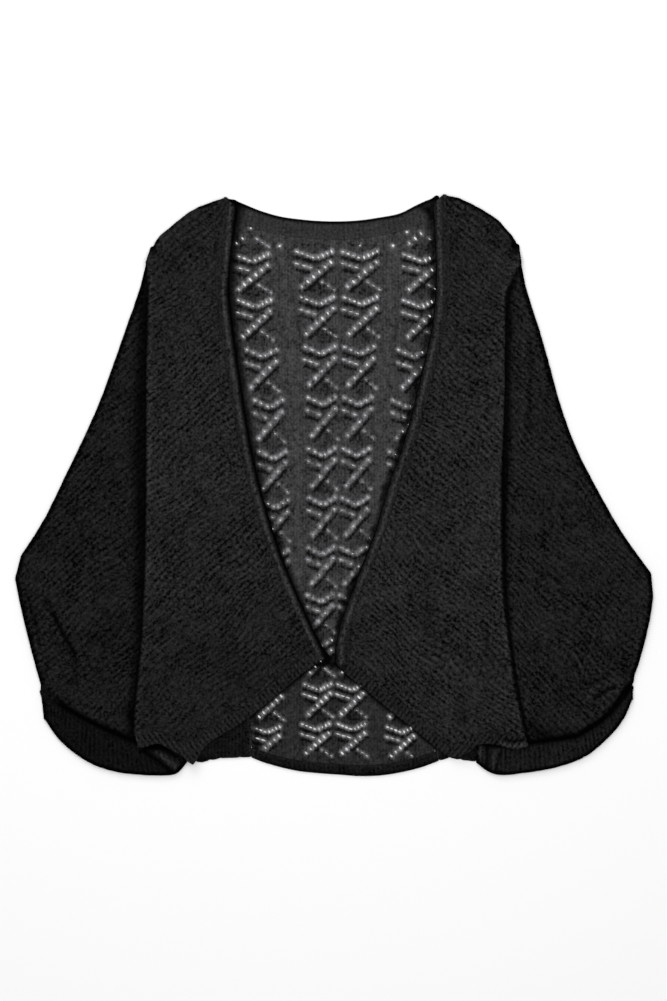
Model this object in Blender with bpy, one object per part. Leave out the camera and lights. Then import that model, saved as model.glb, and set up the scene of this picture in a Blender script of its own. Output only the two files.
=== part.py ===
# Crochet cardigan, laid flat on its back: fronts on top, sleeves folded down beside the body.
# The floor is z = 0, the neck points along +Y. The tables and the sizes below are in millimetres.

import math

import bmesh
import bpy
from mathutils import Vector, geometry

MM = 0.001

# Middle of the garment's outline in the tables below: it becomes the origin
MIDDLE = (-1.2, -0.6)

# Walls of cloth, and the space kept between pieces that meet
KNIT = 2.5
BACK = 2.2
CUFF = 2.2
BAND = 2.7
SEAM = 0.35
CUFF_SEAM = 0.8

# Ribs of the neck band, the cuffs and the back hem
RIB_HEIGHT = 0.6
RIB_PITCH = 5.2

# Side fold of a front: radius of its roll, and how far the cloth returns underneath
ROLL = 2.0
RETURN = 9.0

# How far inside the side fold the back ends at the shoulder
SHOULDER_INSET = 8.0

# Tuck under a side fold: the sleeve reaches this far in, and further near the cuff
TUCK_REACH = 18.0
TUCK_REACH_CUFF = 60.0
TUCK_WIDENS = (-190.0, -255.0)
TUCK_STARTS = (249.0, 233.0)
SLOPE = 33.0
SLOPE_CUFF = 29.0

# Sleeve: height where its first section lies, how far it stands out there, and the hollow between
# its two plies
SLEEVE_TOP = 230.4
SLEEVE_TOP_FLARE = 1.6
ARMHOLE_HEIGHTS = (SLEEVE_TOP, 160.0, 80.0, 0.0, -80.0, -160.0, -200.0, -225.0, -245.0, -262.4)
SLEEVE_ROWS = 20
PLY_GAP = 0.35
SLEEVE_PUFF = 2.6
FOLD_GAP = 1.2

# Widths of the band along the opening, at the neck and at its lower end
OPENING_BAND = (15.6, 8.3)
BAND_SHARE = 0.97

BLACK_YARN = (0.016, 0.016, 0.017, 1.0)
BACK_YARN = (0.040, 0.040, 0.042, 1.0)
RIB_YARN = (0.012, 0.012, 0.013, 1.0)

# Sections across the garment at each height: where the sleeves, side folds and opening lie
SECTION_COLUMNS = ("height", "sleeve_left", "fold_left", "opening_left",
                   "opening_right", "fold_right", "sleeve_right")
SECTIONS = (
    (236, -196.0, -197.0, -109.7, 104.9, 193.0, 192.4),
    (218, -200.2, -196.6, -110.4, 104.9, 187.4, 195.8),
    (200, -205.0, -195.9, -111.0, 104.7, 178.5, 200.0),
    (160, -218.8, -196.3, -106.3, 100.2, 177.2, 212.8),
    (120, -232.8, -196.8, -100.6, 90.5, 176.3, 223.9),
    (80, -247.7, -197.0, -94.7, 81.0, 175.5, 235.2),
    (40, -266.1, -197.4, -87.9, 69.9, 174.6, 249.8),
    (0, -285.4, -197.8, -79.0, 55.2, 173.9, 269.9),
    (-40, -305.0, -198.1, -67.5, 44.4, 174.6, 292.4),
    (-60, -318.0, -198.2, -60.8, 37.2, 175.0, 304.0),
    (-80, -331.4, -198.4, -53.7, 29.2, 175.5, 320.8),
    (-100, -333.0, -199.1, -45.5, 21.5, 176.2, 331.4),
    (-120, -328.8, -200.0, -36.8, 13.6, 177.2, 330.6),
    (-160, -319.4, -202.3, -18.5, 1.0, 182.4, 322.8),
    (-200, -308.6, -206.5, None, None, 187.6, 311.8),
    (-240, None, -210.4, None, None, 195.3, None),
    (-262, None, -210.6, None, None, 200.3, None),
)

# Where each front starts at the shoulder tip and the neck, and the lower tip of its opening
EDGE_POINTS = {
    "left": {"side": -1, "shoulder_tip": (-191.2, 248.0), "neck_point": (-115.0, 298.6),
             "opening_top": (-102.3, 287.6), "opening_tip": (-5.6, -178.7)},
    "right": {"side": 1, "shoulder_tip": (189.8, 250.2), "neck_point": (114.6, 301.4),
              "opening_top": (101.6, 291.4), "opening_tip": (0.4, -186.0)},
}

# Shoulder line from the tip to the neck, x and y
SHOULDERS = {
    "left": ((-184.2, 257.2), (-174.4, 265.8), (-163.8, 274.6), (-148.0, 286.4), (-129.0, 294.2)),
    "right": ((185.4, 257.2), (176.6, 267.2), (168.8, 275.8), (150.6, 287.6), (129.0, 298.4)),
}

# Cutaway hem from the opening to the side fold: outer edge x and y, inner edge x and y
HEMS = {
    "left": (
        (-14.4, -181.4, -21.0, -171.6),
        (-33.6, -195.4, -40.6, -185.6),
        (-65.9, -222.4, -73.2, -212.8),
        (-89.4, -241.1, -96.2, -231.0),
        (-112.0, -256.2, -118.2, -245.6),
        (-127.5, -265.0, -133.6, -254.6),
        (-139.6, -276.4, -146.4, -264.0),
        (-148.0, -290.4, -154.4, -270.4),
        (-158.5, -281.6, -163.0, -266.4),
        (-170.6, -274.8, -173.6, -260.6),
        (-184.0, -268.0, -185.6, -255.4),
        (-196.4, -271.4, -198.0, -258.0),
        (-205.0, -272.4, -207.2, -260.8),
    ),
    "right": (
        (9.0, -194.6, 15.2, -183.8),
        (32.6, -213.6, 39.6, -203.6),
        (58.9, -235.5, 66.2, -226.0),
        (80.8, -253.2, 88.0, -243.6),
        (99.0, -267.8, 105.4, -257.4),
        (111.5, -278.0, 115.0, -266.0),
        (124.0, -282.8, 124.6, -269.6),
        (136.5, -279.6, 134.2, -266.8),
        (146.0, -270.4, 143.6, -258.6),
        (158.0, -268.4, 157.6, -256.6),
        (172.6, -270.8, 171.8, -258.8),
        (188.0, -274.4, 185.6, -261.6),
        (200.2, -270.4, 196.2, -257.8),
    ),
}

# Cuffs from the outer fold to the underarm fold: seam x and y, edge x and y
CUFFS = {
    "left": (
        (-306.2, -213.8, -302.8, -242.6),
        (-287.4, -227.2, -285.4, -266.4),
        (-259.3, -243.6, -257.6, -287.5),
        (-235.4, -255.0, -230.4, -297.4),
        (-214.0, -264.4, -205.0, -300.9),
        (-198.4, -270.4, -183.0, -301.8),
        (-184.0, -273.2, -167.0, -300.4),
        (-170.0, -271.4, -158.6, -293.2),
        (-160.0, -266.6, -154.8, -287.8),
    ),
    "right": (
        (308.6, -209.2, 309.2, -222.0),
        (290.8, -231.2, 299.4, -243.8),
        (274.2, -247.4, 284.0, -262.4),
        (250.3, -261.4, 259.8, -282.2),
        (227.4, -264.6, 229.0, -293.6),
        (203.5, -267.6, 198.0, -299.0),
        (184.0, -270.2, 178.5, -301.2),
        (166.0, -270.4, 166.0, -300.4),
        (154.0, -268.4, 156.0, -295.8),
        (147.0, -265.6, 147.0, -288.4),
    ),
}

# Neck band across the back: upper edge x and y, lower edge x and y
NECK_BAND = (
    (-112.5, 298.0, -120.5, 281.5),
    (-99.2, 293.6, -106.5, 277.0),
    (-78.4, 285.2, -85.5, 268.4),
    (-57.6, 279.2, -62.0, 261.6),
    (-36.8, 276.2, -39.0, 258.4),
    (-16.0, 274.4, -17.0, 256.4),
    (4.8, 274.1, 4.8, 256.1),
    (25.6, 275.2, 26.5, 257.0),
    (46.4, 278.2, 49.0, 260.4),
    (67.2, 282.4, 73.0, 266.0),
    (86.0, 291.6, 93.5, 274.0),
    (107.0, 300.8, 115.5, 282.0),
)

# Hem rib of the back: lower edge x and y, upper edge x and y
BACK_HEM = (
    (-87.4, -283.0, -87.0, -274.0),
    (-76.0, -287.8, -74.5, -278.6),
    (-57.6, -293.2, -55.6, -283.6),
    (-36.8, -297.6, -35.5, -287.6),
    (-16.0, -299.7, -15.5, -289.7),
    (4.8, -301.2, 4.8, -291.0),
    (25.6, -302.6, 25.0, -292.2),
    (46.4, -302.0, 45.0, -291.8),
    (67.2, -298.9, 64.6, -289.2),
    (88.0, -293.9, 84.6, -284.4),
    (107.5, -286.8, 103.6, -277.6),
)

# Outline of each side of the back: along the shoulder, round the neck band's end, down the lace panel
# and along the lower edge, x and y
BACK_SIDES = {
    "left": {"shoulder": ((-187.0, 243.0), (-180.4, 253.0), (-162.6, 268.2), (-142.6, 282.2),
                          (-130.0, 288.6), (-119.8, 291.6)),
             "neck": ((-121.3, 282.4), (-120.8, 280.8)),
             "lace": ((-115.9, 279.4), (-87.4, -273.8), (-87.8, -282.8)),
             "hem": ((-99.2, -283.2), (-120.0, -284.0), (-131.0, -286.0), (-141.0, -289.0),
                     (-149.0, -285.0), (-150.6, -268.0))},
    "right": {"shoulder": ((183.6, 245.2), (178.6, 254.8), (168.6, 266.2), (153.4, 277.6),
                           (139.4, 286.0), (126.0, 291.6), (115.6, 293.6)),
              "neck": ((116.3, 283.0), (115.8, 281.2)),
              "lace": ((111.0, 279.4), (104.0, -277.4)),
              "hem": ((108.0, -286.5), (119.0, -283.4), (130.0, -285.2), (145.8, -287.0),
                      (145.8, -267.6), (139.4, -264.0))},
}

# Rows of lace leaves: height of the leaf's tip, x of the four columns, width and height of the leaf
LACE_COLUMNS = ("height", "left", "centre_left", "centre_right", "right", "width", "length")
LACE_ROWS = (
    (284.0, -87.0, -22.0, 30.0, 93.0, 1.00, 0.96),
    (236.0, -85.0, -19.0, 28.6, 92.4, 1.00, 0.96),
    (188.2, -81.4, -15.6, 29.2, 90.6, 0.94, 1.00),
    (136.4, -74.2, -13.4, 27.2, 83.6, 0.86, 1.04),
    (83.6, -67.0, -11.8, 25.8, 77.0, 0.80, 1.05),
    (30.4, -63.0, -11.8, 23.8, 72.4, 0.76, 1.02),
    (-20.8, -60.6, -11.6, 22.8, 70.0, 0.74, 1.02),
    (-72.4, -60.0, -12.6, 21.4, 68.4, 0.74, 0.98),
    (-121.6, -61.4, -13.6, 20.0, 67.8, 0.74, 0.94),
    (-168.6, -64.0, -14.6, 18.8, 67.8, 0.74, 0.88),
    (-213.6, -67.2, -16.0, 18.4, 68.8, 0.76, 0.82),
    (-255.0, -69.8, -18.0, 19.4, 70.6, 0.78, 0.80),
)
OUTER_COLUMN_DROP = 3.0

# Arms of eyelets in one leaf, from its tip: start x and y, end x and y
LEAF_ARMS = (
    (-20.0, 7.8, -2.9, 1.2),
    (1.8, 1.2, 15.4, 7.2),
    (-23.0, -5.2, -4.8, -12.4),
    (14.6, -5.4, 1.6, -17.2),
    (-1.6, -20.2, -17.4, -34.4),
    (6.6, -27.0, 17.4, -34.2),
)
ARM_WIDTH = 4.2
ARM_MARGIN = 3.4

# Soft ridges of the cloth: piece, points along the ridge, half width and height
RIDGES = (
    ("sleeve_left", ((-302.0, -118.0), (-284.0, -146.0), (-264.0, -176.0)), 9.0, 1.6),
    ("sleeve_left", ((-262.0, -178.0), (-266.0, -204.0)), 8.0, 1.2),
    ("sleeve_right", ((197.0, 152.0), (200.0, 100.0), (197.0, 50.0)), 7.0, 1.2),
    ("sleeve_right", ((296.0, -208.0), (306.0, -184.0)), 5.0, 1.4),
    ("sleeve_right", ((288.0, -214.0), (290.0, -186.0)), 5.0, 1.4),
    ("sleeve_right", ((278.0, -220.0), (272.0, -194.0)), 5.0, 1.4),
    ("sleeve_right", ((268.0, -228.0), (256.0, -204.0)), 5.0, 1.2),
    ("sleeve_left", ((-292.0, -204.0), (-300.0, -176.0)), 5.0, 1.2),
    ("front_right", ((108.0, -36.0), (108.0, -150.0)), 11.0, 1.2),
    ("front_right", ((82.0, -40.0), (84.0, -140.0)), 11.0, 1.0),
    ("front_right", ((124.0, -206.0), (118.0, -240.0), (110.0, -262.0)), 8.0, 1.6),
)

SLEEVE_HEIGHT = 2.0 * KNIT + PLY_GAP
FRONT_LOW = BACK + SEAM + KNIT / 2.0
RETURN_MIDDLE = SLEEVE_HEIGHT + SEAM + KNIT / 2.0
FRONT_HIGH = RETURN_MIDDLE + KNIT + SEAM
FOLD_RISE = RETURN_MIDDLE + 2.0 * ROLL - FRONT_HIGH
FOLD_RISE_WIDTH = 10.0


def smooth_step(start, end, value):
    """0 before start, 1 after end, and a soft rise between."""
    share = min(max((value - start) / (end - start), 0.0), 1.0)
    return share * share * (3.0 - 2.0 * share)


def section_value(column, height):
    """x of a column of SECTIONS at a height, on the straight line between its rows."""
    index = SECTION_COLUMNS.index(column)
    rows = [(row[0], row[index]) for row in SECTIONS if row[index] is not None]
    if height >= rows[0][0]:
        return rows[0][1]
    for (high, x_high), (low, x_low) in zip(rows, rows[1:]):
        if height >= low:
            return x_low + (x_high - x_low) * (height - low) / (high - low)
    return rows[-1][1]


def section_points(column, highest, lowest):
    """The points of a column of SECTIONS between two heights, from the top down."""
    index = SECTION_COLUMNS.index(column)
    inside = [row for row in SECTIONS if row[index] is not None and lowest < row[0] < highest]
    return [Vector((row[index], row[0])) for row in inside]


class Edge:
    """A smooth edge through a few points, read by the share of its length from 0 to 1."""

    STEPS = 8

    def __init__(self, points):
        knots = [Vector(point) for point in points]
        knots = [2.0 * knots[0] - knots[1]] + knots + [2.0 * knots[-1] - knots[-2]]
        self.points = []
        for before, start, end, after in zip(knots, knots[1:], knots[2:], knots[3:]):
            for step in range(self.STEPS):
                t = step / self.STEPS
                bend = (2.0 * start + (end - before) * t
                        + (2.0 * before - 5.0 * start + 4.0 * end - after) * t * t
                        + (3.0 * start - before - 3.0 * end + after) * t ** 3)
                self.points.append(bend / 2.0)
        self.points.append(knots[-2])
        self.lengths = [0.0]
        for start, end in zip(self.points, self.points[1:]):
            self.lengths.append(self.lengths[-1] + (end - start).length)

    def __call__(self, share):
        target = min(max(share, 0.0), 1.0) * self.lengths[-1]
        for index in range(1, len(self.points)):
            if self.lengths[index] >= target:
                break
        span = self.lengths[index] - self.lengths[index - 1]
        part = (target - self.lengths[index - 1]) / span
        return self.points[index - 1].lerp(self.points[index], part)

    def direction(self, share):
        return (self(share + 0.01) - self(share - 0.01)).normalized()

    def knot_shares(self):
        """Shares of the length at which the given points lie."""
        return [self.lengths[index] / self.lengths[-1] for index in range(0, len(self.points), self.STEPS)]


def moved(edge, distance_at, count=17):
    """The edge moved to its left, seen along it, by a distance that may change on the way."""
    points = []
    for index in range(count):
        share = index / (count - 1)
        along = edge.direction(share)
        points.append(edge(share) + Vector((-along.y, along.x)) * distance_at(share))
    return Edge(points)


def patch(top, bottom, start_side, end_side):
    """The sheet between four edges: across runs from start_side to end_side, down from the top."""
    def place(across, down):
        between_sides = start_side(down).lerp(end_side(down), across)
        between_ends = top(across).lerp(bottom(across), down)
        upper = top(0.0).lerp(top(1.0), across)
        lower = bottom(0.0).lerp(bottom(1.0), across)
        return between_sides + between_ends - upper.lerp(lower, down)
    return place


def distance_to_line(point, line):
    """Shortest way from a point to a line of straight stretches."""
    nearest = []
    for start, end in zip(line, line[1:]):
        start, end = Vector(start), Vector(end)
        share = (point - start).dot(end - start) / (end - start).length_squared
        nearest.append((point - start.lerp(end, min(max(share, 0.0), 1.0))).length)
    return min(nearest)


def ridge_height(piece, point):
    """Height that the soft ridges of a piece add at a point."""
    height = 0.0
    for name, line, half_width, rise in RIDGES:
        if name == piece:
            height += rise * math.exp(-(distance_to_line(point, line) / half_width) ** 2)
    return height


def yarn(name, color):
    """Matt black yarn."""
    material = bpy.data.materials.new(name)
    material.use_nodes = True
    shader = material.node_tree.nodes["Principled BSDF"]
    shader.inputs["Base Color"].default_value = color
    shader.inputs["Roughness"].default_value = 0.9
    shader.inputs["Metallic"].default_value = 0.0
    return material


def finish(name, mesh, color):
    """Centres a mesh on the garment, gives it outward faces and soft shading, and names the piece."""
    shape = bmesh.new()
    shape.from_mesh(mesh)
    bmesh.ops.translate(shape, vec=(-MIDDLE[0] * MM, -MIDDLE[1] * MM, 0.0), verts=shape.verts)
    bmesh.ops.recalc_face_normals(shape, faces=shape.faces)
    shape.to_mesh(mesh)
    shape.free()
    mesh.shade_smooth()
    mesh.set_sharp_from_angle(angle=math.radians(50.0))
    mesh.materials.append(yarn(name + "_yarn", color))
    piece = bpy.data.objects.new(name, mesh)
    bpy.context.collection.objects.link(piece)
    return piece


def cloth_wall(name, rows, thickness, color, relief=None, ring=False):
    """A closed wall on both sides of rows of middle points. The outside is the side that relief
    raises: it points up at the middle of the first row's last stretch, which lies on top."""
    across = len(rows[0])
    normals = []
    for r, row in enumerate(rows):
        line = []
        for c in range(across):
            before = row[c - 1] if ring or c else row[0]
            after = row[(c + 1) % across] if ring or c + 1 < across else row[c]
            along = after - before
            down = rows[min(r + 1, len(rows) - 1)][c] - rows[max(r - 1, 0)][c]
            line.append(along.cross(down).normalized())
        normals.append(line)
    top = max(range(across), key=lambda c: rows[len(rows) // 2][c].z)
    turn = 1.0 if normals[len(rows) // 2][top].z > 0.0 else -1.0
    vertices = []
    for side in (1.0, -1.0):
        for r, row in enumerate(rows):
            for c, middle in enumerate(row):
                raised = relief[r][c] if relief and side > 0.0 else 0.0
                vertices.append((middle + normals[r][c] * turn * side * (thickness / 2.0 + raised)) * MM)
    count = len(rows) * across

    def corner(side, r, c):
        return side * count + r * across + c % across

    faces = []
    for r in range(len(rows) - 1):
        for c in range(across if ring else across - 1):
            for side in (0, 1):
                faces.append((corner(side, r, c), corner(side, r, c + 1),
                              corner(side, r + 1, c + 1), corner(side, r + 1, c)))
    for r in (0, len(rows) - 1):
        for c in range(across if ring else across - 1):
            faces.append((corner(0, r, c), corner(0, r, c + 1), corner(1, r, c + 1), corner(1, r, c)))
    if not ring:
        for r in range(len(rows) - 1):
            for c in (0, across - 1):
                faces.append((corner(0, r, c), corner(0, r + 1, c), corner(1, r + 1, c), corner(1, r, c)))
    mesh = bpy.data.meshes.new(name)
    mesh.from_pydata([tuple(vertex) for vertex in vertices], [], faces)
    return finish(name, mesh, color)


def plate(name, outline, holes, thickness, color):
    """A flat panel on the floor, cut through by its holes."""
    points = [Vector(point) for point in outline]
    loops = [list(range(len(points)))]
    for hole in holes:
        loops.append(list(range(len(points), len(points) + len(hole))))
        points.extend(hole)
    edges = [(loop[i - 1], loop[i]) for loop in loops for i in range(len(loop))]
    places, _, triangles, _, _, _ = geometry.delaunay_2d_cdt(points, edges, [], 0, 1e-4)
    shape = bmesh.new()
    corners = [shape.verts.new((place.x * MM, place.y * MM, 0.0)) for place in places]
    for triangle in triangles:
        middle = sum((places[index] for index in triangle), Vector((0.0, 0.0))) / 3.0
        if inside(middle, outline) and not any(inside(middle, hole) for hole in holes):
            shape.faces.new([corners[index] for index in triangle])
    loose = [corner for corner in corners if not corner.link_faces]
    bmesh.ops.delete(shape, geom=loose, context="VERTS")
    raised = bmesh.ops.extrude_face_region(shape, geom=shape.faces[:])
    moving = [item for item in raised["geom"] if isinstance(item, bmesh.types.BMVert)]
    bmesh.ops.translate(shape, vec=(0.0, 0.0, thickness * MM), verts=moving)
    mesh = bpy.data.meshes.new(name)
    shape.to_mesh(mesh)
    shape.free()
    return finish(name, mesh, color)


def inside(point, outline):
    """Whether a point lies within a closed outline."""
    within = False
    for start, end in zip(outline, list(outline[1:]) + [outline[0]]):
        if (start[1] > point.y) != (end[1] > point.y):
            crossing = start[0] + (end[0] - start[0]) * (point.y - start[1]) / (end[1] - start[1])
            within = within != (point.x < crossing)
    return within


def strip(name, pairs, middle_at, thickness, shares, color, relief_at=None):
    """A band between pairs of edge points: one row for each pair, a few points across it."""
    rows = []
    relief = []
    for index, (start, end) in enumerate(pairs):
        places = [start.lerp(end, share) for share in shares]
        rows.append([Vector((place.x, place.y, middle_at(place))) for place in places])
        raised = relief_at(index) if relief_at else 0.0
        relief.append([raised * (0.0 < share < 1.0) for share in shares])
    return cloth_wall(name, rows, thickness, color, relief)


def paired_edges(table):
    """The two edges of a band's table."""
    first = Edge([(row[0], row[1]) for row in table])
    second = Edge([(row[2], row[3]) for row in table])
    return first, second


def fold_x(name, height):
    return section_value("fold_" + name, height)


def tuck_reach(height):
    """How far the sleeve reaches in under the side fold."""
    return TUCK_REACH + (TUCK_REACH_CUFF - TUCK_REACH) * smooth_step(*TUCK_WIDENS, height)


def front_middle(name, place):
    """Middle of a front's wall: high over the tucked sleeve, and down on the back further in."""
    distance = abs(place.x - fold_x(name, place.y))
    lifted = smooth_step(*TUCK_STARTS, place.y)
    reach = tuck_reach(place.y)
    slope = SLOPE + (SLOPE_CUFF - SLOPE) * smooth_step(*TUCK_WIDENS, place.y)
    over_sleeve = 1.0 - smooth_step(reach - 4.0, reach - 4.0 + slope, distance)
    at_fold = 1.0 - smooth_step(ROLL + KNIT / 2.0, ROLL + KNIT / 2.0 + FOLD_RISE_WIDTH, distance)
    rise = (FRONT_HIGH - FRONT_LOW) * over_sleeve + FOLD_RISE * at_fold
    return FRONT_LOW + lifted * rise + ridge_height("front_" + name, place)


def opening_edge(name):
    """Free edge of a front from the neck to its tip."""
    ends = EDGE_POINTS[name]
    points = section_points("opening_" + name, 300.0, -200.0)
    return Edge([ends["opening_top"]] + points + [ends["opening_tip"]])


def hem_rows(name):
    """Rows of the cutaway hem: outer edge, seam with the front, and the front's own edge above it."""
    rows = [(Vector(row[:2]), Vector(row[2:])) for row in HEMS[name]]
    return [(outer, seam, seam + (seam - outer).normalized() * SEAM) for outer, seam in rows]


def front_seam(name):
    """Edge of the front along its opening band, from the neck to the corner above the hem."""
    ends = EDGE_POINTS[name]
    free = opening_edge(name)
    points = [ends["neck_point"]]
    for step in range(1, 12):
        share = BAND_SHARE * step / 12.0
        along = free.direction(share)
        width = OPENING_BAND[0] + (OPENING_BAND[1] - OPENING_BAND[0]) * share
        points.append(free(share) + Vector((-along.y, along.x)) * ends["side"] * width)
    return Edge(points + [hem_rows(name)[0][2]])


def front_rows():
    """Shares of a front's length where its rows lie, closer at the shoulder tip."""
    close = [0.0, 0.012, 0.026, 0.042]
    return close + [close[-1] + (1.0 - close[-1]) * step / 17.0 for step in range(1, 18)]


def front(name):
    """A front: it rolls over at its side fold and returns underneath, above the sleeve."""
    ends = EDGE_POINTS[name]
    side = ends["side"]
    hem = hem_rows(name)
    inset = ROLL + KNIT / 2.0
    fold = Edge([ends["shoulder_tip"]] + section_points("fold_" + name, 240.0, -245.0)
                + [hem[-1][2] + Vector((side * inset, 0.0))])
    inner_points = [fold(step / 16.0) + fold_outward(name, fold, step / 16.0) * -inset
                    for step in range(16)]
    roll_line = Edge(inner_points + [hem[-1][2]])
    seam_side = front_seam(name)
    top = Edge([roll_line(0.0)] + list(SHOULDERS[name]) + [seam_side(0.0)])
    bottom = Edge([row[2] for row in reversed(hem)])
    place = patch(top, bottom, roll_line, seam_side)
    columns = bottom.knot_shares()
    rows = []
    for down in front_rows():
        outward = fold_outward(name, fold, down)
        start = place(0.0, down)
        top_middle = front_middle(name, start)
        lifted = smooth_step(*TUCK_STARTS, start.y)
        sweep = math.radians(90.0 + 90.0 * lifted)
        center_height = top_middle - ROLL
        row = []
        for step in (2, 1, 0):
            inward = RETURN * lifted ** 2 * (step + 0.4) / 2.4
            at = start + outward * (ROLL * math.sin(sweep) - inward)
            row.append(Vector((at.x, at.y, center_height + ROLL * math.cos(sweep))))
        for step in range(5, 0, -1):
            angle = sweep * step / 6.0
            at = start + outward * ROLL * math.sin(angle)
            row.append(Vector((at.x, at.y, center_height + ROLL * math.cos(angle))))
        for across in columns:
            at = place(across, down)
            row.append(Vector((at.x, at.y, front_middle(name, at))))
        rows.append(row)
    return cloth_wall("front_" + name, rows, KNIT, BLACK_YARN)


def fold_outward(name, edge, share):
    """Direction in plan that points out of the garment across a side fold."""
    along = edge.direction(share)
    return Vector((along.y, -along.x)) * -EDGE_POINTS[name]["side"]


def band_middle(name):
    """Middle height of the bands sewn to a front."""
    def middle(place):
        return front_middle(name, place) + (BAND - KNIT) / 2.0
    return middle


def front_band(name):
    """The smooth band along the opening."""
    side = EDGE_POINTS[name]["side"]
    free = opening_edge(name)
    seam = front_seam(name)
    toward_opening = Vector((-side * SEAM, 0.0))
    pairs = [(free(down * BAND_SHARE), seam(down) + toward_opening) for down in front_rows()]
    pairs.append((free(1.0), hem_rows(name)[0][0] + toward_opening))
    return strip("front_band_" + name, pairs, band_middle(name), BAND, (0.0, 0.5, 1.0), BLACK_YARN)


def front_hem(name):
    """The band along the cutaway hem."""
    rows = hem_rows(name)
    free = Edge([row[0] for row in rows])
    shares = free.knot_shares()
    pairs = []
    for index in range(len(rows) - 1):
        pairs.append((rows[index][0], rows[index][1]))
        middle_share = (shares[index] + shares[index + 1]) / 2.0
        pairs.append((free(middle_share), rows[index][1].lerp(rows[index + 1][1], 0.5)))
    pairs.append((rows[-1][0], rows[-1][1]))
    return strip("front_hem_" + name, pairs, band_middle(name), BAND, (0.0, 0.5, 1.0), BLACK_YARN)


def armhole_edge(name):
    """Where the sleeve meets the back, under the front."""
    side = EDGE_POINTS[name]["side"]
    points = [(fold_x(name, height) - side * tuck_reach(height), height) for height in ARMHOLE_HEIGHTS]
    return Edge(points)


def sleeve(name):
    """A sleeve folded flat along its outer edge, open at the armhole and at the cuff."""
    side = EDGE_POINTS[name]["side"]

    cuff_seam = moved(paired_edges(CUFFS[name])[0], lambda share: -side * CUFF_SEAM)
    top_outer = section_value("sleeve_" + name, SECTIONS[0][0]) + side * SLEEVE_TOP_FLARE
    outer = Edge([(top_outer, SLEEVE_TOP)]
                 + section_points("sleeve_" + name, SLEEVE_TOP, -205.0) + [cuff_seam(0.0)])
    inset = (KNIT + FOLD_GAP + PLY_GAP) / 2.0 + KNIT / 2.0
    fold_line = moved(outer, lambda share: -side * inset)
    inner = armhole_edge(name)
    top = Edge([inner(0.0), fold_line(0.0)])
    seam_points = [cuff_seam(share) for share in (0.98, 0.85, 0.7, 0.55, 0.4, 0.25, 0.1)]
    bottom = Edge([inner(1.0)] + seam_points + [fold_line(1.0)])
    place = patch(top, bottom, inner, fold_line)
    piece = "sleeve_" + name
    shares = (0.0, 0.08, 0.16, 0.25, 0.35, 0.45, 0.55, 0.65, 0.75, 0.84, 0.92, 1.0)
    rows = []
    for index in range(SLEEVE_ROWS + 1):
        down = index / SLEEVE_ROWS
        outward = fold_outward(name, outer, down)
        edge_gap = PLY_GAP + FOLD_GAP * smooth_step(0.0, 0.15, down) * (1.0 - smooth_step(0.94, 1.0, down))

        def ply_gap(at, across):
            beside_fold = side * (at.x - fold_x(name, at.y))
            puff = SLEEVE_PUFF * smooth_step(2.0, 34.0, beside_fold) * smooth_step(0.05, 0.3, down)
            puff *= 1.0 - smooth_step(0.9, 1.0, down)
            puff *= 1.0 - smooth_step(0.75, 1.0, across)
            ridge = ridge_height(piece, at) * smooth_step(2.0, 10.0, beside_fold)
            at_edge = (edge_gap - PLY_GAP) * smooth_step(0.75, 1.0, across)
            return PLY_GAP + puff + ridge * (1.0 - across ** 8) + at_edge

        row = []
        for across in (0.0, 0.2, 0.4, 0.6, 0.8, 1.0):
            at = place(across, down)
            row.append(Vector((at.x, at.y, KNIT / 2.0)))
        radius = (KNIT + edge_gap) / 2.0
        fold_at = place(1.0, down)
        for step in range(1, 6):
            angle = math.pi * step / 6.0
            at = fold_at + outward * radius * math.sin(angle)
            row.append(Vector((at.x, at.y, KNIT / 2.0 + radius * (1.0 - math.cos(angle)))))
        for across in reversed(shares):
            at = place(across, down)
            row.append(Vector((at.x, at.y, KNIT * 1.5 + ply_gap(at, across))))
        rows.append(row)
    return cloth_wall(piece, rows, KNIT, BLACK_YARN)


def cuff(name):
    """A ribbed cuff: a tube pressed flat, with its ribs raised on top."""
    seam, edge = paired_edges(CUFFS[name])
    radius = (CUFF + PLY_GAP) / 2.0
    inset = radius + CUFF / 2.0
    width = (seam.lengths[-1] + edge.lengths[-1]) / 2.0
    ribs = 2 * round(width / RIB_PITCH)
    start_share = inset / width
    rows = []
    relief = []
    for down in (0.0, 0.12, 0.5, 0.88, 1.0):
        def at(share):
            return seam(share).lerp(edge(share), down)

        row = []
        raised = []
        for step in range(13):
            point = at(start_share + (1.0 - 2.0 * start_share) * step / 12.0)
            row.append(Vector((point.x, point.y, CUFF / 2.0)))
            raised.append(0.0)
        for end, turn in ((1.0, 1.0), (0.0, -1.0)):
            share = 1.0 - start_share if end else start_share
            outward = (at(share + turn * 0.02) - at(share)).normalized()
            fold_at = at(share)
            for step in (1, 2, 3):
                angle = math.pi * step / 4.0
                point = fold_at + outward * radius * math.sin(angle)
                height = radius * math.cos(angle)
                row.append(Vector((point.x, point.y, CUFF / 2.0 + radius - turn * height)))
                raised.append(0.0)
            if end:
                for step in range(ribs + 1):
                    share = 1.0 - start_share - (1.0 - 2.0 * start_share) * step / ribs
                    point = at(share)
                    row.append(Vector((point.x, point.y, CUFF * 1.5 + PLY_GAP)))
                    raised.append(RIB_HEIGHT * (step % 2) * (0.0 < down < 1.0))
        rows.append(row)
        relief.append(raised)
    return cloth_wall("cuff_" + name, rows, CUFF, RIB_YARN, relief, ring=True)


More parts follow.
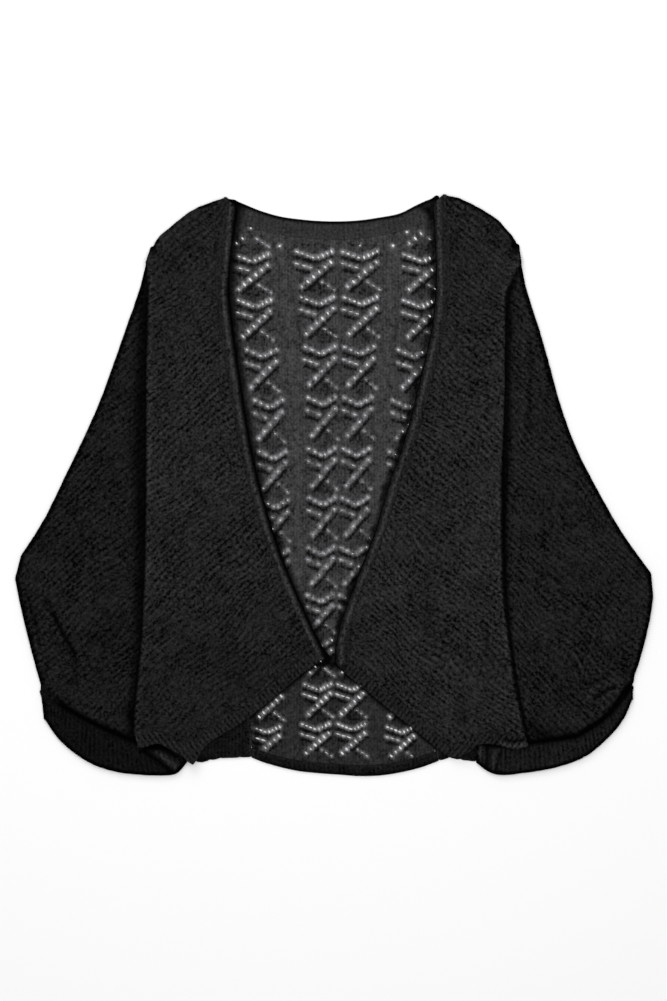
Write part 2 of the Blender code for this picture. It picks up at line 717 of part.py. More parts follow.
def back_side(name):
    """Plain side of the back, from the lace panel out to the armhole seam under the front."""
    shape = BACK_SIDES[name]
    side = EDGE_POINTS[name]["side"]

    armhole = armhole_edge(name)
    outline = [*shape["hem"]]
    for index in range(SLEEVE_ROWS, -1, -1):
        place = armhole(index / SLEEVE_ROWS)
        outline.append((place.x - side * SEAM, place.y))
    shoulder_fold = fold_x(name, SECTIONS[0][0])
    for inset in (TUCK_REACH + SEAM, SHOULDER_INSET):
        outline.append((shoulder_fold - side * inset, SLEEVE_TOP + 2.0 * SEAM))
    outline += [*shape["shoulder"], *shape["neck"], *shape["lace"]]
    return plate("back_side_" + name, outline, [], BACK, BACK_YARN)


def arm_outline(tip, arm, width, length):
    """Corners of one cut arm of a leaf."""
    start = tip + Vector((arm[0] * width, arm[1] * length))
    end = tip + Vector((arm[2] * width, arm[3] * length))
    along = (end - start).normalized()
    across = Vector((-along.y, along.x)) * ARM_WIDTH / 2.0 * (0.55 + 0.45 * width)
    return [start + across, start - across, end - across, end + across]


def back_lace_panel():
    """Centre of the back, cut through along the arms of its lace leaves."""
    neck = moved(paired_edges(NECK_BAND)[1], lambda share: -SEAM)
    hem = moved(paired_edges(BACK_HEM)[1], lambda share: SEAM)
    outline = [neck(0.022 + 0.956 * step / 14.0) for step in range(15)]
    outline += [hem(1.0 - step / 12.0) for step in range(13)]
    inner_outline = shrunk(outline, ARM_MARGIN)
    holes = []
    for row in LACE_ROWS:
        values = dict(zip(LACE_COLUMNS, row))
        for column in LACE_COLUMNS[1:5]:
            drop = OUTER_COLUMN_DROP if column in ("left", "right") else 0.0
            tip = Vector((values[column], values["height"] - drop))
            for arm in LEAF_ARMS:
                hole = arm_outline(tip, arm, values["width"], values["length"])
                if all(inside(corner, inner_outline) for corner in hole):
                    holes.append(hole)
    return plate("back_lace_panel", outline, holes, BACK, BACK_YARN)


def shrunk(outline, margin):
    """An outline moved in by a margin, for outlines that run clockwise."""
    points = []
    for index, point in enumerate(outline):
        before, after = outline[index - 1], outline[(index + 1) % len(outline)]
        along = (after - before).normalized()
        points.append(point + Vector((along.y, -along.x)) * margin)
    return points


def ribbed_strip(name, table, rib_shares, color):
    """A flat ribbed band on the floor, with ribs raised between two shares of its length."""
    first, second = paired_edges(table)
    stations = 2 * round(first.lengths[-1] / RIB_PITCH)
    pairs = [(first(index / stations), second(index / stations)) for index in range(stations + 1)]

    def relief(index):
        return RIB_HEIGHT * (index % 2) * (rib_shares[0] < index / stations < rib_shares[1])

    return strip(name, pairs, lambda place: BACK / 2.0, BACK, (0.0, 0.15, 0.85, 1.0), color, relief)


def build():
    for item in list(bpy.data.objects):
        bpy.data.objects.remove(item)
    back_lace_panel()
    ribbed_strip("neck_band_back", NECK_BAND, (0.08, 0.92), BACK_YARN)
    ribbed_strip("back_hem_rib", BACK_HEM, (0.0, 1.0), RIB_YARN)
    for name in EDGE_POINTS:
        back_side(name)
        sleeve(name)
        cuff(name)
        front(name)
        front_band(name)
        front_hem(name)


build()
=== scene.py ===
# A slubby black cardigan with a lace back, laid flat on a pale surface and seen from straight above.

import math

import bmesh
import bpy
import numpy as np
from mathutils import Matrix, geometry, kdtree


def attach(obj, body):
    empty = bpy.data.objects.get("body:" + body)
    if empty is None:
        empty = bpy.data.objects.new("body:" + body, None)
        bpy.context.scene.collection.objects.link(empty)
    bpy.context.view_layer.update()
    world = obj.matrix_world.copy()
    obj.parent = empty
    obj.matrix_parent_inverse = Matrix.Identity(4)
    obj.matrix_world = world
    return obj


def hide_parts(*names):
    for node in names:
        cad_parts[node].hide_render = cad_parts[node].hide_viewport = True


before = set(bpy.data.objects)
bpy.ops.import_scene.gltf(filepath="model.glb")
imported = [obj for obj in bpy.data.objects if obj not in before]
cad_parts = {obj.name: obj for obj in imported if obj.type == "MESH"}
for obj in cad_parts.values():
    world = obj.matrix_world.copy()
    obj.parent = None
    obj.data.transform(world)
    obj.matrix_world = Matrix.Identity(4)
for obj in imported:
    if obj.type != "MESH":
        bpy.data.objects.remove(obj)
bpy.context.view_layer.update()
bpy.ops.object.select_all(action="DESELECT")
scene = bpy.context.scene


# Surface, light and camera
# A plain pale sheet of card, lit evenly from above by large soft lights as for a catalogue picture.
# The camera looks straight down on it and holds the garment in the photograph's frame.

MM = 0.001
PICTURE_HEIGHT = 1001
PICTURE_SCALE = 1.04
PICTURE_MIDDLE = (-0.7, -15.4)
CAMERA_HEIGHT = 3.0
CLOTH_MIDDLE = 6.0
SENSOR = 36.0

scene.view_settings.view_transform = "Standard"

bpy.ops.object.camera_add(location=(PICTURE_MIDDLE[0] * MM, PICTURE_MIDDLE[1] * MM, CAMERA_HEIGHT),
                          rotation=(0.0, 0.0, 0.0))
camera = bpy.context.object
camera.data.sensor_width = SENSOR
camera.data.lens = SENSOR * (CAMERA_HEIGHT - CLOTH_MIDDLE * MM) / (PICTURE_HEIGHT * PICTURE_SCALE * MM)
scene.camera = camera

bpy.ops.mesh.primitive_plane_add(size=9.0, location=(0.0, 0.0, -0.0004))
floor = bpy.context.object
floor.name = "pale_card"
card = bpy.data.materials.new("pale_card")
card.use_nodes = True
card_shader = card.node_tree.nodes["Principled BSDF"]
card_shader.inputs["Base Color"].default_value = (0.98, 0.98, 0.98, 1.0)
card_shader.inputs["Roughness"].default_value = 0.85
card_shader.inputs["Specular IOR Level"].default_value = 0.2
floor.data.materials.append(card)

# Soft lights that face the middle: name, place, size and power
SOFT_LIGHTS = (
    ("overhead", (0.0, 0.1, 2.6), 2.4, 52.5),
    ("head_side", (-0.7, 1.9, 1.7), 1.2, 17.0),
)
for light_name, place, size, power in SOFT_LIGHTS:
    bpy.ops.object.light_add(type="AREA", location=place)
    light = bpy.context.object
    light.name = light_name
    light.data.size = size
    light.data.energy = power
    toward = light.location * -1.0
    light.rotation_mode = "QUATERNION"
    light.rotation_quaternion = toward.to_track_quat("-Z", "Y")

world = bpy.data.worlds.new("studio")
world.use_nodes = True
world.node_tree.nodes["Background"].inputs["Color"].default_value = (1.0, 1.0, 1.0, 1.0)
world.node_tree.nodes["Background"].inputs["Strength"].default_value = 0.30
scene.world = world


# Back lace panel
# The centre of the back: fine black yarn, coloured a lighter grey than the fronts, knitted in four columns of
# lace leaves, each drawn by arms of eyelets with plain stripes between. It is joined to the neck band, the
# hem rib and the sides.

# A row for each row of leaves: the height and x of their tips, how large and how open they are
LACE_COLUMNS = ("height", "left", "centre_left", "centre_right", "right", "width", "length", "openness")
LACE_ROWS = (
    (284.5, -86.0, -21.0, 31.0, 94.0, 1.00, 0.96, 1.00),
    (236.5, -84.0, -18.0, 29.6, 93.4, 1.00, 0.96, 1.00),
    (188.7, -80.4, -14.6, 30.2, 91.6, 0.94, 1.00, 0.90),
    (136.9, -73.2, -12.4, 28.2, 84.6, 0.86, 1.04, 0.60),
    (84.1, -66.0, -10.8, 26.8, 78.0, 0.80, 1.05, 0.40),
    (30.9, -62.0, -10.8, 24.8, 73.4, 0.76, 1.02, 0.30),
    (-20.3, -59.6, -10.6, 23.8, 71.0, 0.74, 1.02, 0.20),
    (-71.9, -59.0, -11.6, 22.4, 69.4, 0.74, 0.98, 0.15),
    (-121.1, -60.4, -12.6, 21.0, 68.8, 0.74, 0.94, 0.15),
    (-168.1, -63.0, -13.6, 19.8, 68.8, 0.74, 0.88, 0.60),
    (-213.1, -66.2, -15.0, 19.4, 69.8, 0.76, 0.82, 1.00),
    (-254.5, -68.8, -17.0, 20.4, 71.6, 0.78, 0.80, 1.00),
)
OUTER_COLUMN_DROP = 3.0

# Arms of eyelets in a leaf, from its tip: first eyelet x and y, last eyelet x and y, how many, and an
# eyelet's half sizes along and across the arm in the widest leaf
EYELET_ARMS = (
    (-20.5, 7.6, -4.2, 1.4, 4, 1.7, 0.9),
    (1.6, 1.6, 15.2, 8.2, 4, 0.9, 1.8),
    (-21.0, -5.2, -6.5, -9.4, 3, 2.3, 0.7),
    (14.4, -3.6, -15.5, -30.0, 6, 1.0, 2.0),
    (5.5, -25.5, 17.5, -33.5, 3, 1.5, 0.5),
)

# An eyelet where the lace is drawn together, at openness 0: half size across, shares of size and number
SLIM_HALF_ACROSS = 1.1
CLOSEST_EYELET = 0.7
FEWEST_EYELETS = 0.6
EYELET_SPACE = 3.2
EYELET_CORNERS = 8

# Small single eyelets under the neck band: centre and half size
NECK_EYELETS = ((-86.9, 268.6, 1.3), (-56.9, 249.8, 1.4), (75.7, 264.4, 1.3), (61.2, 250.3, 1.5),
                (26.8, 250.3, 1.0))

# Plain margins of the panel, heights between which the leaves show, steps of its mesh, and its thickness
LACE_MARGIN = 3.4
LACE_NECK_MARGIN = 8.0
LACE_RANGE = (-276.0, 252.0)
LACE_STEP = 1.8
LACE_ROW_STEP = LACE_STEP * 0.866
LACE_HEIGHT = 1.75

# Light through the thin arms of eyelets and on their rims, the shade on the lower end, along the edge of
# the panel there, and in the pockets under each front's free edge
SHEER_LIGHT = 1.8
CLOSED_ARM_LIGHT = 0.3
LOW_SHADE = 0.45
RIM_GLOW = 3.3
RIM_GLOW_WIDTH = 1.5
MARGIN_SHADOW = ((-81.3, -240.0), (-81.3, -290.0))
POCKET_SHADES = {"left": 0.3, "right": 0.75}

# Raised lines of slanted stitches in a leaf, from its tip, and the close plain middle of the leaf
LEAF_LINES = (
    ((-22.0, 1.6), (-1.4, -4.4)),
    ((-1.4, -4.4), (15.0, 2.2)),
    ((-21.0, -12.0), (-7.6, -15.4)),
    ((-12.0, -35.0), (3.6, -21.0)),
    ((3.6, -21.0), (17.0, -9.4)),
)
LEAF_MIDDLE = (3.0, -33.0)
LEAF_RADII = (12.0, 7.0)

# Free edges of the fronts that lie on the back
OPENING_COLUMNS = ("height", "left", "right")
OPENING = (
    (292.0, -101.3, 102.6),
    (200.5, -110.0, 105.7),
    (160.5, -105.3, 101.2),
    (120.5, -99.6, 91.5),
    (80.5, -93.7, 82.0),
    (40.5, -86.9, 70.9),
    (0.5, -78.0, 56.2),
    (-39.5, -66.5, 45.4),
    (-79.5, -52.7, 30.2),
    (-119.5, -35.8, 14.6),
    (-159.5, -17.5, 2.0),
    (-186.0, -4.6, 1.4),
)
HEM_EDGES = (
    ((-4.0, -180.0), (-32.4, -194.8), (-64.7, -221.8), (-88.2, -240.5), (-110.8, -255.6), (-138.4, -275.8)),
    ((2.0, -186.0), (33.8, -213.0), (60.1, -234.9), (82.0, -252.6), (100.2, -267.2), (125.2, -282.2)),
)

# Soft shadows on the back under the free edges: height, darkest shade, and the distances from the edge at
# which the shadow starts to fade and ends
OPENING_SHADOWS = {
    "left": ((200.0, 0.08, 0.0, 14.0), (0.0, 0.12, 0.0, 10.0), (-120.0, 0.14, 0.0, 7.0)),
    "right": ((200.0, 0.20, 0.0, 12.0), (0.0, 0.22, 0.0, 8.0), (-120.0, 0.16, 0.0, 8.0)),
}
HEM_SHADOW = ((0.0, 0.06, 0.0, 6.5),)


def lattice(i, j, seed):
    """A fixed random height from 0 to 1 for each point of a lattice."""
    wave = np.sin(i * 12.9898 + j * 78.233 + seed * 37.719) * 43758.5453
    return wave - np.floor(wave)


def noise(x, y, seed):
    """Smooth random heights from 0 to 1, about one unit apart."""
    i, j = np.floor(x), np.floor(y)
    u, v = x - i, y - j
    u, v = u * u * (3.0 - 2.0 * u), v * v * (3.0 - 2.0 * v)
    low = lattice(i, j, seed) * (1.0 - u) + lattice(i + 1.0, j, seed) * u
    high = lattice(i, j + 1.0, seed) * (1.0 - u) + lattice(i + 1.0, j + 1.0, seed) * u
    return low * (1.0 - v) + high * v


def soft_step(start, end, value):
    """0 before start, 1 after end, and a soft rise between."""
    share = np.clip((value - start) / (end - start), 0.0, 1.0)
    return share * share * (3.0 - 2.0 * share)


def bell(distance, width):
    """1 at no distance and a soft fall on each side."""
    return np.exp(-(distance / width) ** 2)


def line_distance(x, y, line):
    """Distance in plan from each point to a line of straight stretches."""
    nearest = np.full(len(x), 1e9)
    for start, end in zip(line, line[1:]):
        along_x, along_y = end[0] - start[0], end[1] - start[1]
        share = ((x - start[0]) * along_x + (y - start[1]) * along_y) / (along_x ** 2 + along_y ** 2)
        share = np.clip(share, 0.0, 1.0)
        away = np.hypot(x - start[0] - along_x * share, y - start[1] - along_y * share)
        nearest = np.minimum(nearest, away)
    return nearest


def shadow(distance, y, rows):
    """A soft shadow beside an edge: darkest up to its start and gone at its end, in rows by height."""
    heights, *columns = zip(*rows[::-1])
    darkest, start, end = (np.interp(y, heights, column) for column in columns)
    return darkest + (1.0 - darkest) * soft_step(start, end, distance)


def at_height(y, rows, columns, side):
    """A side's value at each height, from rows that run downwards."""
    index = columns.index(side)
    return np.interp(y, [row[0] for row in rows[::-1]], [row[index] for row in rows[::-1]])


def opening_x(side, y):
    """x of a front's free edge at each height."""
    return at_height(y, OPENING, OPENING_COLUMNS, side)


def opening_distance(side, x, y):
    """Distance from a front's free edge, into the opening."""
    slope = (opening_x(side, y + 2.0) - opening_x(side, y - 2.0)) / 4.0
    inward = 1.0 if side == "left" else -1.0
    distance = inward * (x - opening_x(side, y)) / np.hypot(1.0, slope)
    return np.where(y > OPENING[-1][0], distance, np.maximum(distance, OPENING[-1][0] - y))


def flat_outline(node):
    """Outline in plan of a flat panel's solid, in order, in mm."""
    shape = bmesh.new()
    shape.from_mesh(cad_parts[node].data)
    bmesh.ops.remove_doubles(shape, verts=shape.verts, dist=1e-6)
    under = {face for face in shape.faces if face.normal.z < -0.9}
    rim = [edge for edge in shape.edges if sum(face in under for face in edge.link_faces) == 1]
    neighbours = {}
    for edge in rim:
        for vert in edge.verts:
            neighbours.setdefault(vert, []).append(edge.other_vert(vert))
    first = min(neighbours, key=lambda vert: vert.co.x)
    loop = [first, neighbours[first][0]]
    while loop[-1] is not first:
        ahead = [vert for vert in neighbours[loop[-1]] if vert is not loop[-2]]
        loop.append(ahead[0])
    places = np.array([(vert.co.x, vert.co.y) for vert in loop[:-1]]) / MM
    shape.free()
    return places


def spaced(outline, step):
    """A closed outline with points no further apart than a step."""
    points = []
    for start, end in zip(outline, np.roll(outline, -1, axis=0)):
        count = max(1, math.ceil(np.hypot(*(end - start)) / step))
        points += [start + (end - start) * k / count for k in range(count)]
    return np.array(points)


def within(x, y, outline):
    """Whether each point lies inside a closed outline."""
    hit = np.zeros(len(x), bool)
    for (x1, y1), (x2, y2) in zip(outline, np.roll(outline, -1, axis=0)):
        if y1 != y2:
            crosses = (y1 > y) != (y2 > y)
            hit ^= crosses & (x < x1 + (x2 - x1) * (y - y1) / (y2 - y1))
    return hit


def cloth_mesh(name, points, faces, relief, shade, course):
    """A mesh from points in mm. Each point keeps its relief from 0 to 1, the shade on it, and its place
    in the knitting, along and across its rows, for the yarn's colour."""
    mesh = bpy.data.meshes.new(name)
    mesh.from_pydata((points * MM).tolist(), [], faces.tolist())
    for attribute, values in (("relief", relief), ("shade", shade)):
        mesh.attributes.new(attribute, "FLOAT", "POINT").data.foreach_set("value", values.astype(np.float32))
    rows = mesh.attributes.new("course", "FLOAT_VECTOR", "POINT").data
    rows.foreach_set("vector", np.column_stack(np.broadcast_arrays(*course)).astype(np.float32).ravel())
    mesh.shade_smooth()
    piece = bpy.data.objects.new(name, mesh)
    scene.collection.objects.link(piece)
    return piece


def flat_shell(places, triangles, top):
    """Points and faces of a thin closed shell on the floor, from flat triangles that run anticlockwise."""
    count = len(places)
    points = np.column_stack((np.tile(places, (2, 1)), np.concatenate((top, np.zeros(count)))))
    sides = np.concatenate([triangles[:, [0, 1]], triangles[:, [1, 2]], triangles[:, [2, 0]]])
    _, first, uses = np.unique(np.sort(sides, axis=1), axis=0, return_index=True, return_counts=True)
    rim = sides[first[uses == 1]]
    walls = np.concatenate([
        np.column_stack((rim[:, 1], rim[:, 0], rim[:, 0] + count)),
        np.column_stack((rim[:, 1], rim[:, 0] + count, rim[:, 1] + count)),
    ])
    return points, np.concatenate([triangles, triangles[:, ::-1] + count, walls])


def lace_tips():
    """Tip, width, length and openness of every leaf of the lace."""
    tips = []
    for row in LACE_ROWS:
        values = dict(zip(LACE_COLUMNS, row))
        for column in LACE_COLUMNS[1:5]:
            drop = OUTER_COLUMN_DROP if column in ("left", "right") else 0.0
            size = values["width"], values["length"], values["openness"]
            tips.append((values[column], values["height"] - drop, *size))
    return tips


def lace_eyelets(outline):
    """Centre, half sizes along and across, and slant of every eyelet that lies well inside the panel."""
    found = []
    for tip_x, tip_y, width, length, openness in lace_tips():
        size = CLOSEST_EYELET + (1.0 - CLOSEST_EYELET) * openness
        for x1, y1, x2, y2, count, half_along, half_across in EYELET_ARMS:
            slant = math.atan2((y2 - y1) * length, (x2 - x1) * width)
            slim = min(half_across, SLIM_HALF_ACROSS)
            across = slim + (half_across - slim) * openness
            count = round(count * (FEWEST_EYELETS + (1.0 - FEWEST_EYELETS) * openness))
            for k in range(count):
                share = k / (count - 1)
                x = tip_x + (x1 + (x2 - x1) * share) * width
                y = tip_y + (y1 + (y2 - y1) * share) * length
                uneven = size * (0.75 + 0.45 * lattice(round(x), round(y), 5))
                if all(math.hypot(x - other[0], y - other[1]) > EYELET_SPACE for other in found):
                    found.append((x, y, half_along * uneven, across * uneven, slant))
    found = np.array(found)
    margin = np.where(found[:, 1] > 225.0, LACE_NECK_MARGIN, LACE_MARGIN)
    x, y = found[:, 0], found[:, 1]
    closed = np.vstack((outline, outline[:1]))
    found = found[(line_distance(x, y, closed) > margin) & within(x, y, outline)]
    single = [(x, y, half, half, 0.0) for x, y, half in NECK_EYELETS]
    return np.vstack((found, single))


def eyelet_reach(x, y, eyelet):
    """Distance from an eyelet's centre in units of its own size: 1 on its rim."""
    cx, cy, half_along, half_across, slant = eyelet
    along = (x - cx) * math.cos(slant) + (y - cy) * math.sin(slant)
    across = (y - cy) * math.cos(slant) - (x - cx) * math.sin(slant)
    return np.hypot(along / half_along, across / half_across)


def eyelet_beyond(x, y, eyelet):
    """Distance in mm outside an eyelet's rim, below 0 in the eyelet."""
    return np.hypot(x - eyelet[0], y - eyelet[1]) * (1.0 - 1.0 / np.maximum(eyelet_reach(x, y, eyelet), 0.01))


def lace_cut(outline, eyelets):
    """Flat points and triangles of the lace panel, open at its eyelets."""
    low, high = outline.min(axis=0), outline.max(axis=0)
    x, y = np.meshgrid(np.arange(low[0], high[0], LACE_STEP), np.arange(low[1], high[1], LACE_ROW_STEP))
    x = x + (np.arange(len(x)) % 2)[:, None] * LACE_STEP / 2.0
    x, y = x.ravel(), y.ravel()
    kept = within(x, y, outline)
    kept &= line_distance(x, y, np.vstack((outline, outline[:1]))) > 0.9
    for eyelet in eyelets:
        kept &= eyelet_beyond(x, y, eyelet) > 0.7
    points = [np.column_stack((x[kept], y[kept])), outline]
    turns = np.arange(EYELET_CORNERS) * 2.0 * math.pi / EYELET_CORNERS
    for cx, cy, half_along, half_across, slant in eyelets:
        along, across = np.cos(turns) * half_along, np.sin(turns) * half_across
        points.append(np.column_stack((cx + along * math.cos(slant) - across * math.sin(slant),
                                       cy + along * math.sin(slant) + across * math.cos(slant))))
    edges = []
    count = len(points[0])
    for loop_points in points[1:]:
        loop = np.arange(count, count + len(loop_points))
        edges.append(np.column_stack((loop, np.roll(loop, -1))))
        count += len(loop_points)
    knots, _, triangles, _, _, _ = geometry.delaunay_2d_cdt(
        np.concatenate(points).tolist(), np.concatenate(edges).tolist(), [], 0, 1e-5)
    knots = np.array([(knot.x, knot.y) for knot in knots])
    triangles = np.array(triangles)
    middles = knots[triangles].mean(axis=1)
    solid = within(middles[:, 0], middles[:, 1], outline)
    for eyelet in eyelets:
        solid &= eyelet_reach(middles[:, 0], middles[:, 1], eyelet) > 0.93
    return knots, triangles[solid]


lace_outline = spaced(flat_outline("back_lace_panel"), 2.2)
eyelets = lace_eyelets(lace_outline)
lace_knots, lace_triangles = lace_cut(lace_outline, eyelets)
x, y = lace_knots.T

rim_nearness = np.zeros(len(x))
for eyelet in eyelets:
    beyond = np.maximum(eyelet_beyond(x, y, eyelet), 0.0)
    rim_nearness = np.maximum(rim_nearness, bell(beyond, RIM_GLOW_WIDTH))
raised = np.zeros(len(x))
close_knit = np.zeros(len(x))
sheer = np.zeros(len(x))
for tip_x, tip_y, width, length, openness in lace_tips():
    place = np.array((tip_x, tip_y))
    size = np.array((width, length))
    for line in LEAF_LINES:
        raised = np.maximum(raised, bell(line_distance(x, y, place + np.array(line) * size), 1.6))
    for x1, y1, x2, y2, _, _, half_across in EYELET_ARMS:
        arm = place + np.array(((x1, y1), (x2, y2))) * size
        half_width = 1.2 + min(half_across, 1.0 + openness)
        thin = bell(line_distance(x, y, arm), half_width) * min(1.0, 0.35 + 0.5 * half_across)
        thin *= 1.0 + CLOSED_ARM_LIGHT * (1.0 - openness)
        sheer = np.maximum(sheer, thin)
    reach = np.hypot((x - tip_x - LEAF_MIDDLE[0] * width) / (LEAF_RADII[0] * width),
                     (y - tip_y - LEAF_MIDDLE[1] * length) / (LEAF_RADII[1] * length))
    close_knit = np.maximum(close_knit, 1.0 - soft_step(0.6, 1.4, reach))
inside = (y > LACE_RANGE[0]) & (y < LACE_RANGE[1])
raised, close_knit, sheer = raised * inside, close_knit * inside, sheer * inside

stripe_light = np.zeros(len(x))
row_heights = [row[0] for row in LACE_ROWS[::-1]]
for left_column, right_column in ((1, 2), (3, 4)):
    middles = [(row[left_column] + row[right_column] - 5.0 * row[5]) / 2.0 for row in LACE_ROWS[::-1]]
    stripe_light = np.maximum(stripe_light, bell(x - np.interp(y, row_heights, middles), 3.2))

stitches = noise(x / 2.4, y / 3.2, 11) - 0.5
lace_top = LACE_HEIGHT + 0.55 * raised - 0.55 * rim_nearness + 0.5 * stitches
lace_relief = (0.70 - 0.80 * raised * (1.0 - np.minimum(sheer, 1.0)) - 0.30 * close_knit
               + 0.14 * stripe_light + 0.7 * stitches)
lace_shade = 1.0 - LOW_SHADE * (1.0 - soft_step(-200.0, -184.0, y))
lace_shade += SHEER_LIGHT * sheer + RIM_GLOW * rim_nearness
for side, rows in OPENING_SHADOWS.items():
    lace_shade *= shadow(opening_distance(side, x, y), y, rows)
for hem_edge in HEM_EDGES:
    lace_shade *= shadow(line_distance(x, y, hem_edge), y, HEM_SHADOW)
lace_shade *= 1.0 - 0.75 * bell(line_distance(x, y, MARGIN_SHADOW), 4.0)
for side, depth in POCKET_SHADES.items():
    inward = opening_distance(side, x, y)
    pocket = soft_step(0.4, 0.7, noise(y / 6.5, np.zeros(len(y)), 13)) * bell(inward - 2.5, 2.8)
    lace_shade *= 1.0 - depth * pocket * (y > OPENING[-1][0])

points, faces = flat_shell(lace_knots, lace_triangles, np.minimum(lace_top, 2.5))
lace_panel = cloth_mesh("lace_back", points, faces, np.tile(lace_relief, 2), np.tile(lace_shade, 2),
                        (np.tile(y, 2), np.tile(x, 2), 0.4))


# The yarn's dashes in mm, along and across its rows, and the scale and detail of its fibres and its dye
DASH_SIZE = (3.3, 2.6)
FIBRES = (430.0, 2.0)
DYE = (55.0, 3.0)


def yarn_group():
    """Colour and fine height of knitted yarn: fibres, loops, ridges broken into dashes, and uneven dye. The
    colour
    follows the relief and the ridges: partly the yarn's own uneven tone, partly painted shade in the hollows
    and painted light on the tops. The course holds the place along and across the rows in mm, and how strong
    the ridges are."""
    group = bpy.data.node_groups.new("knitted_yarn", "ShaderNodeTree")
    for name, kind in (("Place", "Vector"), ("Course", "Vector"), ("Relief", "Float"), ("Shade", "Float"),
                       ("Dark", "Color"), ("Light", "Color"), ("Pitch", "Float")):
        group.interface.new_socket(name, in_out="INPUT", socket_type="NodeSocket" + kind)
    for name, kind in (("Color", "Color"), ("Height", "Float")):
        group.interface.new_socket(name, in_out="OUTPUT", socket_type="NodeSocket" + kind)
    nodes, links = group.nodes, group.links
    given = nodes.new("NodeGroupInput")
    result = nodes.new("NodeGroupOutput")

    def math_node(kind, first, second=0.0):
        node = nodes.new("ShaderNodeMath")
        node.operation = kind
        for index, value in enumerate((first, second)):
            if isinstance(value, (int, float)):
                node.inputs[index].default_value = value
            else:
                links.new(value, node.inputs[index])
        return node.outputs["Value"]

    def centred(value, share):
        return math_node("MULTIPLY", math_node("SUBTRACT", value, 0.5), share)

    def texture(vector, scale, detail):
        node = nodes.new("ShaderNodeTexNoise")
        node.inputs["Scale"].default_value = scale
        node.inputs["Detail"].default_value = detail
        links.new(vector, node.inputs["Vector"])
        return node.outputs["Fac"]

    apart = nodes.new("ShaderNodeSeparateXYZ")
    links.new(given.outputs["Course"], apart.inputs["Vector"])
    along, across, strength = apart.outputs
    turn = math_node("MULTIPLY", math_node("DIVIDE", across, given.outputs["Pitch"]), 2.0 * math.pi)
    ridges = math_node("COSINE", turn)
    dashed = nodes.new("ShaderNodeCombineXYZ")
    links.new(math_node("DIVIDE", along, DASH_SIZE[0]), dashed.inputs["X"])
    links.new(math_node("DIVIDE", across, DASH_SIZE[1]), dashed.inputs["Y"])
    dashes = texture(dashed.outputs["Vector"], 1.0, 0.5)

    fibres = texture(given.outputs["Place"], *FIBRES)
    dye = texture(given.outputs["Place"], *DYE)
    broken = math_node("MULTIPLY", math_node("MULTIPLY", ridges, dashes), 0.42)
    pattern = math_node("ADD", broken, centred(dashes, 1.5))
    pattern = math_node("MULTIPLY", pattern, strength)
    height = math_node("ADD", math_node("MULTIPLY", pattern, 0.6), math_node("MULTIPLY", fibres, 0.6))
    links.new(height, result.inputs["Height"])
    tone = math_node("ADD", given.outputs["Relief"], pattern)
    tone = math_node("ADD", tone, centred(fibres, 1.8))
    tone = math_node("ADD", tone, centred(dye, 0.5))
    tone = math_node("MINIMUM", math_node("MAXIMUM", tone, 0.0), 1.6)
    mix = nodes.new("ShaderNodeMix")
    mix.data_type = "RGBA"
    mix.clamp_factor = False
    links.new(tone, mix.inputs["Factor"])
    links.new(given.outputs["Dark"], mix.inputs[6])
    links.new(given.outputs["Light"], mix.inputs[7])
    shaded = nodes.new("ShaderNodeMix")
    shaded.data_type = "RGBA"
    shaded.blend_type = "MULTIPLY"
    shaded.inputs["Factor"].default_value = 1.0
    links.new(mix.outputs[2], shaded.inputs[6])
    links.new(given.outputs["Shade"], shaded.inputs[7])
    links.new(shaded.outputs[2], result.inputs["Color"])
    return group


KNITTED_YARN = yarn_group()


def yarn(name, dark, light, pitch, bump=0.5):
    """Matt yarn that goes from dark in the hollows to light on the ridges, as painted shade and painted
    light.
    """
    material = bpy.data.materials.new(name)
    material.use_nodes = True
    nodes, links = material.node_tree.nodes, material.node_tree.links
    shader = nodes["Principled BSDF"]
    surface = nodes.new("ShaderNodeGroup")
    surface.node_tree = KNITTED_YARN
    surface.inputs["Dark"].default_value = (dark, dark, dark * 1.04, 1.0)
    surface.inputs["Light"].default_value = (light, light, light * 1.04, 1.0)
    surface.inputs["Pitch"].default_value = pitch
    place = nodes.new("ShaderNodeTexCoord")
    links.new(place.outputs["Object"], surface.inputs["Place"])
    for attribute, output, target in (("relief", "Fac", "Relief"), ("shade", "Fac", "Shade"),
                                      ("course", "Vector", "Course")):
        read = nodes.new("ShaderNodeAttribute")
        read.attribute_name = attribute
        links.new(read.outputs[output], surface.inputs[target])
    links.new(surface.outputs["Color"], shader.inputs["Base Color"])
    raised_yarn = nodes.new("ShaderNodeBump")
    raised_yarn.inputs["Strength"].default_value = bump
    raised_yarn.inputs["Distance"].default_value = 0.0008
    links.new(surface.outputs["Height"], raised_yarn.inputs["Height"])
    links.new(raised_yarn.outputs["Normal"], shader.inputs["Normal"])
    shader.inputs["Roughness"].default_value = 0.92
    shader.inputs["Specular IOR Level"].default_value = 0.02
    return material


LACE_YARN = yarn("lace_yarn", 0.005, 0.052, 3.1)


def dress(piece, node, material):
    """Gives a finished piece its yarn, hangs it on the root and hides the solid it was made from."""
    piece.data.materials.clear()
    piece.data.materials.append(material)
    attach(piece, "root")
    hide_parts(node)


dress(lace_panel, "back_lace_panel", LACE_YARN)


# Plain sides of the back
# Plain knit between the lace and the armhole seams, in the same yarn but coloured darker than the lace. The
# fronts lie on them, so only a dark strip at the lower left and a small corner at the lower right show.

# How far every edge reaches out over its seam, and how far and how wide where a slit would show
SEAM_GROWTH = 0.25
CLOSED_GROWTH = 1.5
CLOSED_HALF_WIDTH = 3.5

# Painted shade in a line along an outer edge, where the yarn turns down, and painted shade of upright faces
RIM_DARK = 0.05
RIM_REACH = (1.7, 4.6)
RIM_HEIGHT = 1.2
WALL_SHADE = 0.15
